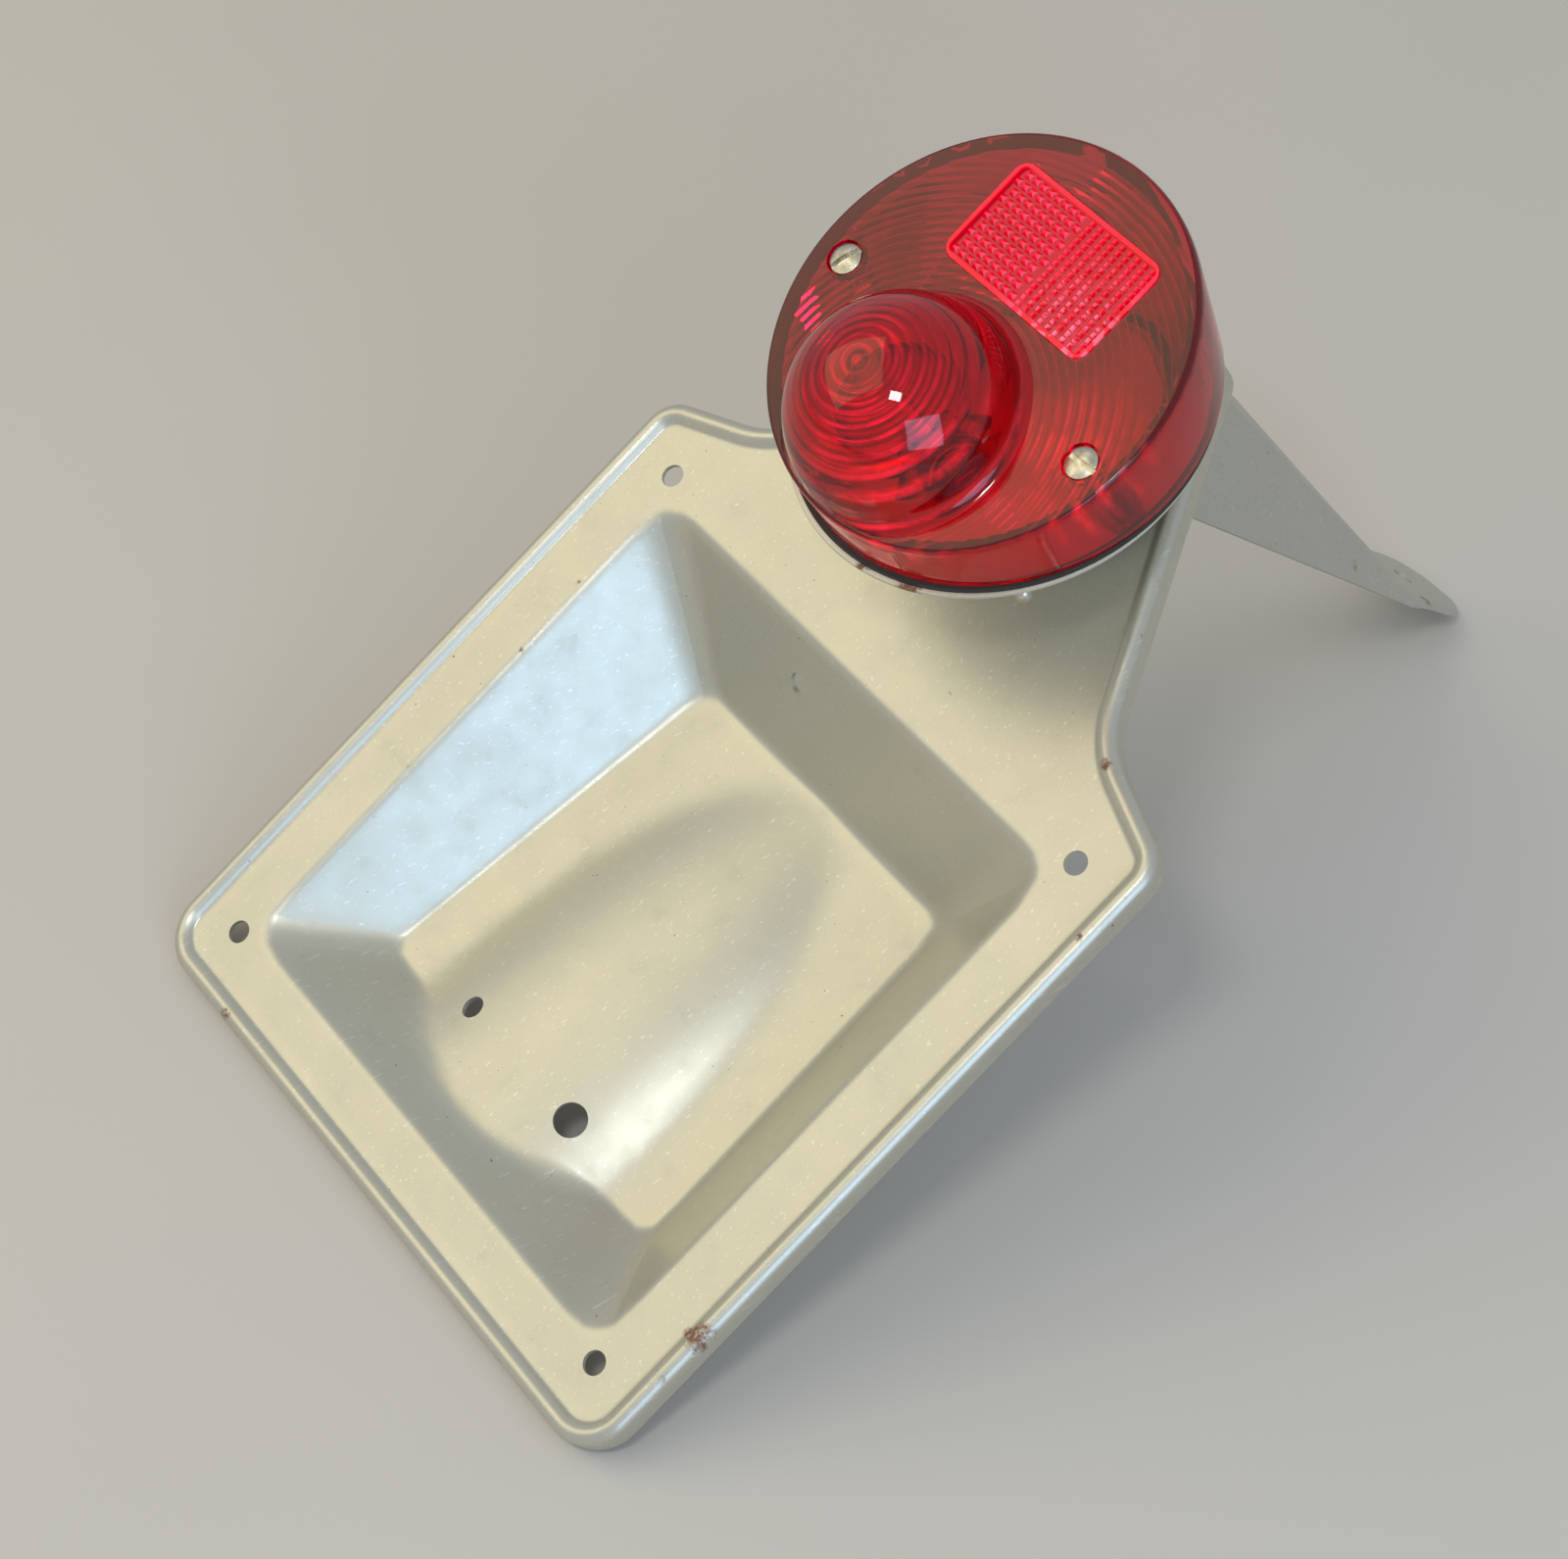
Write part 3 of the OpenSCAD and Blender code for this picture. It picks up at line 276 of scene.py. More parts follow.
def silverPaint(name, look, rustSpots, specks=0.70):
    mat, nodes, links, shader = newMaterial(name)
    coords = placeCoords(nodes, links)
    cloud = noiseOf(nodes, links, coords, 0.02, 3)
    flake = noiseOf(nodes, links, coords, 5.0, 2)
    grime = noiseOf(nodes, links, coords, 0.11, 6, 0.62)
    cloudMask = rampOf(nodes, links, cloud, [(0.35, (0, 0, 0)), (0.7, (1, 1, 1))])
    base = mixColour(nodes, links, cloudMask, look["paint"], [c * 0.95 for c in look["paint"]])
    grimeMask = rampOf(nodes, links, grime, [(0.60, (0, 0, 0)), (0.80, (0.45, 0.45, 0.45))])
    base = mixColour(nodes, links, grimeMask, base, look["dull"])
    scratchCoords = nodes.new("ShaderNodeMapping")
    scratchCoords.inputs["Scale"].default_value = (0.9, 0.05, 0.9)
    scratchCoords.inputs["Rotation"].default_value = (0, 0, 0.5)
    links.new(coords, scratchCoords.inputs["Vector"])
    scratch = noiseOf(nodes, links, scratchCoords.outputs["Vector"], 1.6, 3, 0.7)
    scratchMask = rampOf(nodes, links, scratch, [(0.63, (0, 0, 0)), (0.66, (0.5, 0.5, 0.5))])
    base = mixColour(nodes, links, scratchMask, base, look["scratch"])
    speck = noiseOf(nodes, links, coords, 0.55, 4, 0.75)
    speckMask = rampOf(nodes, links, speck, [(specks, (0, 0, 0)), (specks + 0.02, (1, 1, 1))])
    base = mixColour(nodes, links, speckMask, base, look["rustDark"])
    rustMask = 0.0
    breakUp = noiseOf(nodes, links, coords, 0.34, 7, 0.72)
    for point, radius, strength in rustSpots:
        near = nearPoint(nodes, links, plateFrame(*point), radius * mm)
        raised = mathOf(nodes, links, "MULTIPLY", near, strength)
        value = mathOf(nodes, links, "MULTIPLY", raised, breakUp)
        rustMask = mathOf(nodes, links, "MAXIMUM", rustMask, value)
    edge = rampOf(nodes, links, rustMask, [(0.33, (0, 0, 0)), (0.43, (1, 1, 1))])
    tone = mixColour(nodes, links, rampOf(nodes, links, flake, [(0.4, (0, 0, 0)), (0.6, (1, 1, 1))]),
                     look["rust"], look["rustDark"])
    base = mixColour(nodes, links, edge, base, tone)
    lost = mathOf(nodes, links, "MULTIPLY", edge, look["metallic"])
    links.new(mathOf(nodes, links, "SUBTRACT", look["metallic"], lost), shader.inputs["Metallic"])
    links.new(base, shader.inputs["Base Color"])
    rough = nodes.new("ShaderNodeMapRange")
    rough.inputs["To Min"].default_value = look["rough"] - 0.05
    rough.inputs["To Max"].default_value = look["rough"] + 0.12
    links.new(grime, rough.inputs["Value"])
    links.new(rough.outputs["Result"], shader.inputs["Roughness"])
    fine = bumpOf(nodes, links, flake, 0.10, 0.00006)
    soft = bumpOf(nodes, links, cloud, 0.25, 0.0012, fine)
    links.new(soft, shader.inputs["Normal"])
    return mat


# painted glow: rings of emitted red stand in for the light that the moulded terraces throw back, strongest
# near the given points (plate frame, mm)
paintedRingGlow = {"centre": (0, 115.0), "spacing": 2.55, "colour": (1.0, 0.004, 0.035), "strength": 0.74,
            "paintedEvenGlow": 0.022,
            "spots": [((15, 106, 68), 27, 1.0), ((37, 130, 54), 19, 0.9), ((16, 97, 54), 12, 0.6),
                      ((-4, 121, 77), 12, 0.6)]}


# painted light: the lens emits red in rings and a faint even glow over all of it, as painted highlights
def addPaintedRingGlow(nodes, links, shader):
    out = (plateFrame(0, 0, 1) - plateFrame(0, 0, 0)).normalized()
    raw = nodes.new("ShaderNodeTexCoord")
    lift = nodes.new("ShaderNodeVectorMath")
    lift.operation = "SUBTRACT"
    links.new(raw.outputs["Object"], lift.inputs[0])
    lift.inputs[1].default_value = plateFrame(*paintedRingGlow["centre"], 0)
    across = nodes.new("ShaderNodeVectorMath")
    across.operation = "CROSS_PRODUCT"
    links.new(lift.outputs["Vector"], across.inputs[0])
    across.inputs[1].default_value = out
    radius = nodes.new("ShaderNodeVectorMath")
    radius.operation = "LENGTH"
    links.new(across.outputs["Vector"], radius.inputs[0])
    turns = 2 * math.pi / (paintedRingGlow["spacing"] * mm)
    phase = mathOf(nodes, links, "MULTIPLY", radius.outputs["Value"], turns)
    wave = mathOf(nodes, links, "SINE", phase)
    ring = rampOf(nodes, links, wave, [(0.25, (0, 0, 0)), (0.9, (1, 1, 1))])
    patchy = rampOf(nodes, links, noiseOf(nodes, links, placeCoords(nodes, links), 0.13, 3),
                    [(0.38, (0.15, 0.15, 0.15)), (0.62, (1, 1, 1))])
    total = paintedRingGlow["paintedEvenGlow"]
    for point, size, amount in paintedRingGlow["spots"]:
        near = nearPoint(nodes, links, plateFrame(*point), size * mm)
        near = mathOf(nodes, links, "MULTIPLY", mathOf(nodes, links, "MULTIPLY", near, ring), amount)
        total = mathOf(nodes, links, "ADD", mathOf(nodes, links, "MULTIPLY", near, patchy), total)
    glow = mathOf(nodes, links, "MULTIPLY", total, paintedRingGlow["strength"])
    links.new(glow, shader.inputs["Emission Strength"])
    shader.inputs["Emission Color"].default_value = (*paintedRingGlow["colour"], 1)


# clear red moulding: strong colour, fine dust and light scuffs
def redClear(name, colour, rough=0.03, dust=0.06, gloss=0.5, through=None, rings=False):
    mat, nodes, links, shader = newMaterial(name)
    coords = placeCoords(nodes, links)
    wave = noiseOf(nodes, links, coords, 0.05, 3)
    dustNoise = noiseOf(nodes, links, coords, 1.4, 6, 0.7)
    tone = mixColour(nodes, links, wave, colour, [c * 0.86 for c in colour])
    links.new(tone, shader.inputs["Base Color"])
    shader.inputs["Transmission Weight"].default_value = 1.0
    shader.inputs["IOR"].default_value = 1.49
    shader.inputs["Specular IOR Level"].default_value = gloss
    roughness = nodes.new("ShaderNodeMapRange")
    roughness.inputs["From Min"].default_value = 0.55
    roughness.inputs["From Max"].default_value = 0.8
    roughness.inputs["To Min"].default_value = rough
    roughness.inputs["To Max"].default_value = rough + dust
    links.new(dustNoise, roughness.inputs["Value"])
    links.new(roughness.outputs["Result"], shader.inputs["Roughness"])
    links.new(bumpOf(nodes, links, wave, 0.2, 0.0006), shader.inputs["Normal"])
    # painted glow: the lens's emitted rings of red are added here
    if rings:
        addPaintedRingGlow(nodes, links, shader)
    # light reaches the inside of the lamp through the wall, tinted by it
    path = nodes.new("ShaderNodeLightPath")
    passing = nodes.new("ShaderNodeBsdfTransparent")
    passing.inputs["Color"].default_value = (*(through or colour), 1)
    choose = nodes.new("ShaderNodeMixShader")
    links.new(path.outputs["Is Shadow Ray"], choose.inputs["Fac"])
    links.new(shader.outputs[0], choose.inputs[1])
    links.new(passing.outputs[0], choose.inputs[2])
    links.new(choose.outputs[0], nodes["Material Output"].inputs["Surface"])
    return mat


def giveFinish(obj, mat):
    obj.data.materials.clear()
    obj.data.materials.append(mat)


# opaque metal, rubber, board or enamel with a fine mottle
def plainFinish(name, colour, metallic, rough, grain=0.5, spread=0.15, bump=0.0002, second=None):
    mat, nodes, links, shader = newMaterial(name)
    coords = placeCoords(nodes, links)
    mottle = noiseOf(nodes, links, coords, grain, 5, 0.6)
    fine = noiseOf(nodes, links, coords, grain * 9, 3, 0.6)
    tone = mixColour(nodes, links, rampOf(nodes, links, mottle, [(0.35, (0, 0, 0)), (0.68, (1, 1, 1))]),
                     colour, second or [c * 0.72 for c in colour])
    links.new(tone, shader.inputs["Base Color"])
    shader.inputs["Metallic"].default_value = metallic
    roughness = nodes.new("ShaderNodeMapRange")
    roughness.inputs["To Min"].default_value = max(0.02, rough - spread / 2)
    roughness.inputs["To Max"].default_value = rough + spread
    links.new(mottle, roughness.inputs["Value"])
    links.new(roughness.outputs["Result"], shader.inputs["Roughness"])
    links.new(bumpOf(nodes, links, fine, 0.3, bump), shader.inputs["Normal"])
    return mat


panel = {"halfW": 88.5, "drop": 88.2, "shoulderY": 84.7, "waist": (58.9, 95.5), "neckTop": (16.2, 172.0),
         "sheet": 1.2, "cornerR": 12.0, "shoulderR": 9.0, "waistR": 25.0, "neckR": 6.0,
         "beadW": 5.6, "beadH": 1.8, "flange": 4.5,
         "recessW": 142.0, "recessH": 141.0, "recessY": -1.0, "recessR": 9.0,
         "floorLow": 18.0, "floorTop": 28.7, "floorLowW": 99.0, "floorTopW": 85.4, "floorH": 91.0,
         "floorLowY": -49.5,
         "bulgeHalfW": 36.0, "bulgeLen": 91.0, "bulgeH": 8.5,
         "holePitch": 145.0, "plateHole": 5.5, "guardX": 19.6, "guardY": -45.0, "guardBolt": 8.0,
         "guardPin": 5.5, "drainX": -15.3, "boltX": 14.0, "boltY": 140.3, "boltHole": 6.4,
         "grommetY": 154.3, "grommetHole": 9.0}
p = panel


def unit2(v):
    length = math.hypot(v[0], v[1])
    return (v[0] / length, v[1] / length)


panelCorners = [
    (p["halfW"], -p["drop"], p["cornerR"], 18, 14), (p["halfW"], p["shoulderY"], p["shoulderR"], 12, 3),
    (*p["waist"], p["waistR"], 12, 14), (*p["neckTop"], p["neckR"], 10, 6),
    (-p["neckTop"][0], p["neckTop"][1], p["neckR"], 10, 14),
    (-p["waist"][0], p["waist"][1], p["waistR"], 12, 3),
    (-p["halfW"], p["shoulderY"], p["shoulderR"], 12, 14), (-p["halfW"], -p["drop"], p["cornerR"], 18, 20)]


# the rounded corner k of the panel's outline, moved inward by the inset
def edgeArc(k, inset):
    n = len(panelCorners)
    c, before, after = panelCorners[k % n], panelCorners[(k - 1) % n], panelCorners[(k + 1) % n]
    e1 = unit2((c[0] - before[0], c[1] - before[1]))
    e2 = unit2((after[0] - c[0], after[1] - c[1]))
    n1, n2 = (-e1[1], e1[0]), (-e2[1], e2[0])
    share = inset / (1 + n1[0] * n2[0] + n1[1] * n2[1])
    corner = (c[0] + (n1[0] + n2[0]) * share, c[1] + (n1[1] + n2[1]) * share)
    bend = math.atan2(e1[0] * e2[1] - e1[1] * e2[0], e1[0] * e2[0] + e1[1] * e2[1])
    side = 1 if bend > 0 else -1
    r = max(0.6, c[2] - side * inset)
    run = r * math.tan(abs(bend) / 2)
    start = (corner[0] - e1[0] * run, corner[1] - e1[1] * run)
    centre = (start[0] + n1[0] * r * side, start[1] + n1[1] * r * side)
    arm = (start[0] - centre[0], start[1] - centre[1])
    out = []
    for i in range(c[3]):
        a = bend * i / (c[3] - 1)
        out.append((centre[0] + arm[0] * math.cos(a) - arm[1] * math.sin(a),
                    centre[1] + arm[0] * math.sin(a) + arm[1] * math.cos(a)))
    return out


def panelEdge(inset):
    arcs = [edgeArc(k, inset) for k in range(len(panelCorners))]
    out = []
    for k, arc in enumerate(arcs):
        out += arc
        nextStart, last, more = arcs[(k + 1) % len(arcs)][0], arc[-1], panelCorners[k][4]
        for i in range(1, more + 1):
            t = i / (more + 1)
            out.append((last[0] + (nextStart[0] - last[0]) * t, last[1] + (nextStart[1] - last[1]) * t))
    return out


# where a line from the recess centre to the point crosses the recess rim
def rimCross(q):
    d = unit2((q[0], q[1] - p["recessY"]))
    hw, hh = p["recessW"] / 2, p["recessH"] / 2
    s = min(hw / max(abs(d[0]), 1e-4), hh / max(abs(d[1]), 1e-4))
    cc = (hw - p["recessR"], hh - p["recessR"])
    t = s
    if abs(d[0]) * s > cc[0] and abs(d[1]) * s > cc[1]:
        b = abs(d[0]) * cc[0] + abs(d[1]) * cc[1]
        t = b + math.sqrt(max(0, b * b - cc[0] ** 2 - cc[1] ** 2 + p["recessR"] ** 2))
    return (d[0] * t, d[1] * t + p["recessY"])


def floorZ(y):
    t = (y - p["floorLowY"]) / p["floorH"]
    return -(p["floorLow"] * (1 - t) + p["floorTop"] * t)


def floorPoint(q):
    v = (q[1] - p["recessY"]) / p["recessH"] + 0.5
    w = p["floorLowW"] * (1 - v) + p["floorTopW"] * v
    return (q[0] / p["recessW"] * w, p["floorLowY"] + p["floorH"] * v)


wallBend = 0.12


# share of the wall's depth at u across it, rounded at the top and the foot
def wallDepth(u):
    if u < wallBend:
        return u * u / (2 * wallBend * (1 - wallBend))
    if u > 1 - wallBend:
        return 1 - (1 - u) ** 2 / (2 * wallBend * (1 - wallBend))
    return (u - wallBend / 2) / (1 - wallBend)


bulgeR = (p["bulgeHalfW"] ** 2 + p["bulgeH"] ** 2) / (2 * p["bulgeH"])


# height of the rounded bulge that follows the mudguard
def bulgeZ(x, y):
    v = max(0, (y - p["floorLowY"]) / p["bulgeLen"])
    return floorZ(y) + p["bulgeH"] * (1 - v * v) - (bulgeR - math.sqrt(max(0, bulgeR ** 2 - x * x)))


# the pressed sheet: the recess blended softly into the bulge
def pressed(x, y, z):
    if z > -0.01:
        return (x, y, z)
    other = bulgeZ(x, y)
    return (x, y, (z + other + math.sqrt((z - other) ** 2 + 1.0)) / 2)


beadPoints = [(0, -p["flange"]), (0, -0.2 * p["beadH"]), (0.09 * p["beadW"], 0.5 * p["beadH"]),
              (0.28 * p["beadW"], 0.93 * p["beadH"]), (0.5 * p["beadW"], p["beadH"]),
              (0.72 * p["beadW"], 0.6 * p["beadH"]), (0.88 * p["beadW"], 0.15 * p["beadH"]),
              (1.03 * p["beadW"], 0)]
beadProfile = smoothCurve(beadPoints, 4)


def makePanel():
    crease = panelEdge(beadProfile[-1][0])
    rim = [rimCross(q) for q in crease]
    floor = [floorPoint(q) for q in rim]
    t = p["sheet"]
    front = [[(x, y, z) for x, y in panelEdge(d)] for d, z in beadProfile]
    for u in (0.25, 0.5, 0.75, 0.93):
        front.append([(a[0] + (b[0] - a[0]) * u, a[1] + (b[1] - a[1]) * u, 0) for a, b in zip(crease, rim)])
    wall = [0, 0.03, 0.06, 0.09, 0.12, 0.2, 0.32, 0.44, 0.56, 0.68, 0.8, 0.88, 0.91, 0.94, 0.97, 1]
    for u in wall:
        ring = []
        for a, b in zip(rim, floor):
            x, y = a[0] + (b[0] - a[0]) * u, a[1] + (b[1] - a[1]) * u
            ring.append(pressed(x, y, floorZ(b[1]) * wallDepth(u)))
        front.append(ring)
    midY = p["floorLowY"] + p["floorH"] / 2
    for k in range(1, 16):
        s = 1 - k / 16
        ring = []
        for b in floor:
            x, y = b[0] * s, midY + (b[1] - midY) * s
            ring.append(pressed(x, y, floorZ(y)))
        front.append(ring)
    centre = pressed(0, midY, floorZ(midY))
    n, m = len(crease), len(front)
    # the underside is one sheet's thickness away along the surface's own normals
    back = []
    for k, ring in enumerate(front):
        inner, outer = front[min(m - 1, k + 1)], front[max(0, k - 1)]
        row = []
        for i in range(n):
            along = Vector(ring[(i + 1) % n]) - Vector(ring[i - 1])
            across = Vector(inner[i]) - Vector(outer[i])
            normal = along.cross(across).normalized()
            if k == 0:
                row.append(None)
                continue
            if normal.z < 0 and k > 8:
                normal = -normal
            row.append(tuple(Vector(ring[i]) - normal * t))
        back.append(row)
    back[0] = [(x, y, front[0][0][2]) for x, y in panelEdge(t)]
    points = [point for ring in front + back for point in ring]
    points += [centre, (centre[0], centre[1], centre[2] - t)]
    faces = []
    tip = 2 * n * m
    for k in range(m - 1):
        for i in range(n):
            j = (i + 1) % n
            faces.append((k * n + i, k * n + j, (k + 1) * n + j, (k + 1) * n + i))
            o = n * m
            faces.append((o + k * n + i, o + (k + 1) * n + i, o + (k + 1) * n + j, o + k * n + j))
    for i in range(n):
        j = (i + 1) % n
        o = n * m
        faces.append((i, o + i, o + j, j))
        faces.append(((m - 1) * n + i, (m - 1) * n + j, tip))
        faces.append((o + (m - 1) * n + j, o + (m - 1) * n + i, tip + 1))
    return meshFrom("platePanel", points, faces)


def punch(x, y, z, d, tilt=(0, 0), depth=14):
    place = Matrix.Translation((x, y, z)) @ Matrix.Rotation(tilt[0], 4, "X") @ Matrix.Rotation(tilt[1], 4, "Y")
    r, half = d / 2, depth / 2
    return turned("punch", [(0, -half), (r, -half), (r, half), (0, half)], place, 48)


def punchPanel(obj):
    tools = []
    for sx in (-1, 1):
        for sy in (-1, 1):
            tools.append(punch(sx * p["holePitch"] / 2, sy * p["holePitch"] / 2, 0, p["plateHole"]))
        tools.append(punch(sx * p["boltX"], p["boltY"], 0, p["boltHole"]))
    tools.append(punch(0, p["grommetY"], 0, p["grommetHole"]))
    for x, d in ((p["guardX"], p["guardBolt"]), (-p["guardX"], p["guardPin"])):
        y, e = p["guardY"], 0.01
        slopeX, slopeY = (bulgeZ(x + e, y) - bulgeZ(x, y)) / e, (bulgeZ(x, y + e) - bulgeZ(x, y)) / e
        tools.append(punch(x, y, bulgeZ(x, y), d, (math.atan(slopeY), -math.atan(slopeX))))
    topY = p["recessY"] + p["recessH"] / 2
    endY = p["floorLowY"] + p["floorH"]
    u = 0.4
    tools.append(punch(p["drainX"], topY + (endY - topY) * u, -p["floorTop"] * wallDepth(u), p["guardPin"],
                       (math.atan2(p["floorTop"], topY - endY), 0)))
    return booleanWith(obj, joinPieces("punches", tools))


panelRust = [((86.0, -52.0, 1), 9.0, 1.05), ((86.5, -63.0, 1), 5.0, 0.9), ((-58.0, -86.5, 1), 5.0, 1.0),
             ((-52.0, -87.5, 0), 4.0, 0.85), ((62.5, 92.0, 1), 5.0, 0.95), ((56.0, 103.0, 1), 3.5, 0.9),
             ((86.0, 62.0, 1), 3.5, 0.95), ((-70.0, 20.0, 0), 5.0, 0.8), ((-71.0, 40.0, 0), 4.0, 0.75),
             ((20.0, -40.0, -8), 5.0, 0.75), ((47.0, 117.0, 1), 3.0, 0.9)]
platePanel = softShade(punchPanel(makePanel()), 38)
giveFinish(platePanel, silverPaint("wornSilverPaint", silverLook, panelRust))
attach(platePanel, "body")
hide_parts("plate_carrier")
print("panel made:", len(platePanel.data.polygons), "faces")

bracket = {"sheet": 1.5, "start": 1.25, "reach": 143.0, "footLen": 28.0, "rise": 11.0, "bend": 17.5,
           "footHalfW": 12.5, "webH": 29.0, "crown": 3.3, "hole": 5.5, "plateLowY": 128.3, "foldR": 2.4}
b = bracket
neckAngle = math.atan2(p["waist"][0] - p["neckTop"][0], p["neckTop"][1] - p["waist"][1])
neckInset = p["sheet"] + 0.3 + b["crown"]
footReach = b["reach"] + b["footLen"]
channelX0 = p["neckTop"][0] + neckInset * math.tan(neckAngle) - (p["sheet"] + 0.2) / math.cos(neckAngle)
roundStart = footReach - 0.88 * b["footHalfW"]


def channelHalf(s):
    if s > roundStart:
        return b["footHalfW"] * math.sqrt(1 - ((s - roundStart) / b["footHalfW"]) ** 2)
    return channelX0 + (b["footHalfW"] - channelX0) * min(1, s / b["reach"])


def channelTop(s):
    top = p["neckTop"][1] - neckInset
    if s < b["reach"]:
        return top + b["rise"] * s / b["reach"]
    return top + b["rise"] + (s - b["reach"]) * math.tan(math.radians(b["bend"]))


# cross-section of the folded channel at s behind the panel
def channelSection(s):
    x, y = channelHalf(s), channelTop(s)
    web = max(b["webH"] * (1 - s / (b["reach"] + b["footLen"] / 2)), 1.1 * b["sheet"])
    crown = b["crown"] * max(0, 1 - s / b["reach"])
    w = (math.sin(neckAngle), -math.cos(neckAngle))
    fold = min(b["foldR"], web * 0.55, x * 0.3)
    half = [(x + w[0] * web * t, y + w[1] * web * t) for t in (1, 0.75, 0.5)]
    half = [q for q in half if q[1] < y + w[1] * (fold + 0.1)]
    for i in range(6):
        t = i / 5
        early, late = (1 - t) ** 2, t * t
        half.append((x + w[0] * fold * early - fold * late, y + w[1] * fold * early + 0.12 * crown * late))
    while len(half) < 9:
        half.insert(1, tuple((u + v) / 2 for u, v in zip(half[0], half[1])))
    for t in (0.75, 0.5, 0.25, 0):
        half.append((x * t * 0.86, y + crown * (1 - t * t * 0.88)))
    path = half + [(-q[0], q[1]) for q in half[-2::-1]]
    inner = []
    for i in range(len(path)):
        a, c = path[max(0, i - 1)], path[min(len(path) - 1, i + 1)]
        d = unit2((c[1] - a[1], a[0] - c[0]))
        inner.append((path[i][0] - d[0] * b["sheet"], path[i][1] - d[1] * b["sheet"]))
    return path + inner[::-1]


def makeBracket():
    stations = [b["reach"] * i / 22 for i in range(23)]
    stations += [b["reach"] + (roundStart - b["reach"]) * t for t in (0.15, 0.5)]
    roundSteps = (0, 0.15, 0.3, 0.4, 0.5, 0.6, 0.68, 0.75, 0.8, 0.85, 0.88)
    stations += [roundStart + t * b["footHalfW"] for t in roundSteps]
    rings = [[(x, y, -b["start"] - s) for x, y in channelSection(s)] for s in stations]
    n = len(rings[0])
    channel = loftRings("channelPart", rings, False, False)
    work = bmesh.new()
    work.from_mesh(channel.data)
    work.verts.ensure_lookup_table()
    for end in (0, (len(rings) - 1) * n):
        for i in range(n // 2 - 1):
            work.faces.new([work.verts[end + k] for k in (i, i + 1, n - 2 - i, n - 1 - i)])
    bmesh.ops.recalc_face_normals(work, faces=work.faces)
    work.to_mesh(channel.data)
    work.free()
    # front plate of the channel, as wide as the neck inside its turned edge
    low, high = b["plateLowY"], p["neckTop"][1] - neckInset
    outline = [point for point in panelEdge(p["sheet"] + 0.4) if low + 0.5 < point[1] < high - 0.2]
    right = sorted([point for point in outline if point[0] > 0], key=lambda point: point[1])
    xLow = right[0][0] + (right[0][1] - low) * math.tan(neckAngle)
    xHigh = right[-1][0] - (high - right[-1][1]) * math.tan(neckAngle)
    shape = [(-xLow, low), (xLow, low), (xHigh, high), (-xHigh, high)]
    back, front = -b["start"] - b["sheet"], -b["start"]
    plate = loftRings("platePart", [[(x, y, back) for x, y in shape], [(x, y, front) for x, y in shape]])
    whole = booleanWith(channel, plate, "UNION")
    whole.name = "foldedBracket"
    s = footReach - 0.65 * b["footLen"]
    tools = [punch(0, channelTop(s), -b["start"] - s, b["hole"], (math.radians(b["bend"] - 90), 0)),
             punch(0, p["grommetY"], -2, p["grommetHole"] + 1.5)]
    tools += [punch(x, p["boltY"], -2, p["boltHole"]) for x in (-p["boltX"], p["boltX"])]
    return booleanWith(whole, joinPieces("bracketPunches", tools))


bracketLook = dict(silverLook, paint=(0.56, 0.55, 0.475), dull=(0.40, 0.38, 0.30), rough=0.42)
bracketRust = [((0, 184, -153), 9, 0.85), ((12, 180, -150), 8, 0.85), ((17, 168, -100), 9, 0.8),
               ((28, 150, -20), 8, 0.8)]
foldedBracket = softShade(makeBracket(), 38)
giveFinish(foldedBracket, silverPaint("dulledSilverPaint", bracketLook, bracketRust, 0.69))
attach(foldedBracket, "body")
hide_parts("support_bracket", "bracket_foot")
print("bracket made:", len(foldedBracket.data.polygons), "faces")

lamp = {"y": 136.3, "faceZ": 53.2, "faceR": 47.0, "rimR": 46.5, "rimZ": 31.0, "rimDrop": 4.3, "rimTilt": 11.0,
        "wall": 2.4, "domeDrop": 21.3, "domeR": 25.5, "domeWall": 2.0, "steps": 9, "screwX": 39.0,
        "screwDrop": 5.3, "headD": 7.2, "screwD": 3.9, "pillarTop": 32.0, "bossR": 4.6,
        "reflexW": 45.0, "reflexH": 26.0, "reflexRise": 22.0, "reflexR": 3.5,
        "windowAngle": 24.0, "housingWall": 1.4, "backZ": 1.6, "backR": 27.0, "gasket": 1.4, "lipDrop": 2.2}
q = lamp
rimY = q["y"] - q["rimDrop"]
bulbY = q["y"] - q["domeDrop"]
screwY = q["y"] - q["screwDrop"]
reflexY = q["y"] + q["reflexRise"]
onRim = Matrix.Translation((0, rimY, q["rimZ"])) @ Matrix.Rotation(-math.radians(q["rimTilt"]), 4, "X")


def circleOf(r, place, z=0.0, dy=0.0, steps=144):
    out = []
    for i in range(steps):
        a = 2 * math.pi * i / steps
        out.append(tuple(place @ Vector((r * math.cos(a), r * math.sin(a) + dy, z))))
    return out


def faceCircle(r, z):
    return circleOf(r, Matrix.Translation((0, q["y"], z)))


# outer form of the lens, or its inner form where it is inset
def lensBlock(inset, past, topZ=None):
    rings = [circleOf(q["rimR"] - inset, onRim, -past, 1.0)]
    if topZ is None:
        rings.append(faceCircle(q["faceR"] + 1 - inset, q["faceZ"] - 3.0 - inset))
        for a in range(0, 91, 15):
            t = math.radians(a)
            r = q["faceR"] - inset + math.cos(t) * 1.0
            rings.append(faceCircle(r, q["faceZ"] - 1.6 - inset + 1.6 * math.sin(t)))
    else:
        rings.append(faceCircle(q["faceR"] - inset, q["faceZ"] - 3))
        rings.append(faceCircle(q["faceR"] - inset, topZ))
    return loftRings("lensBlock", rings)


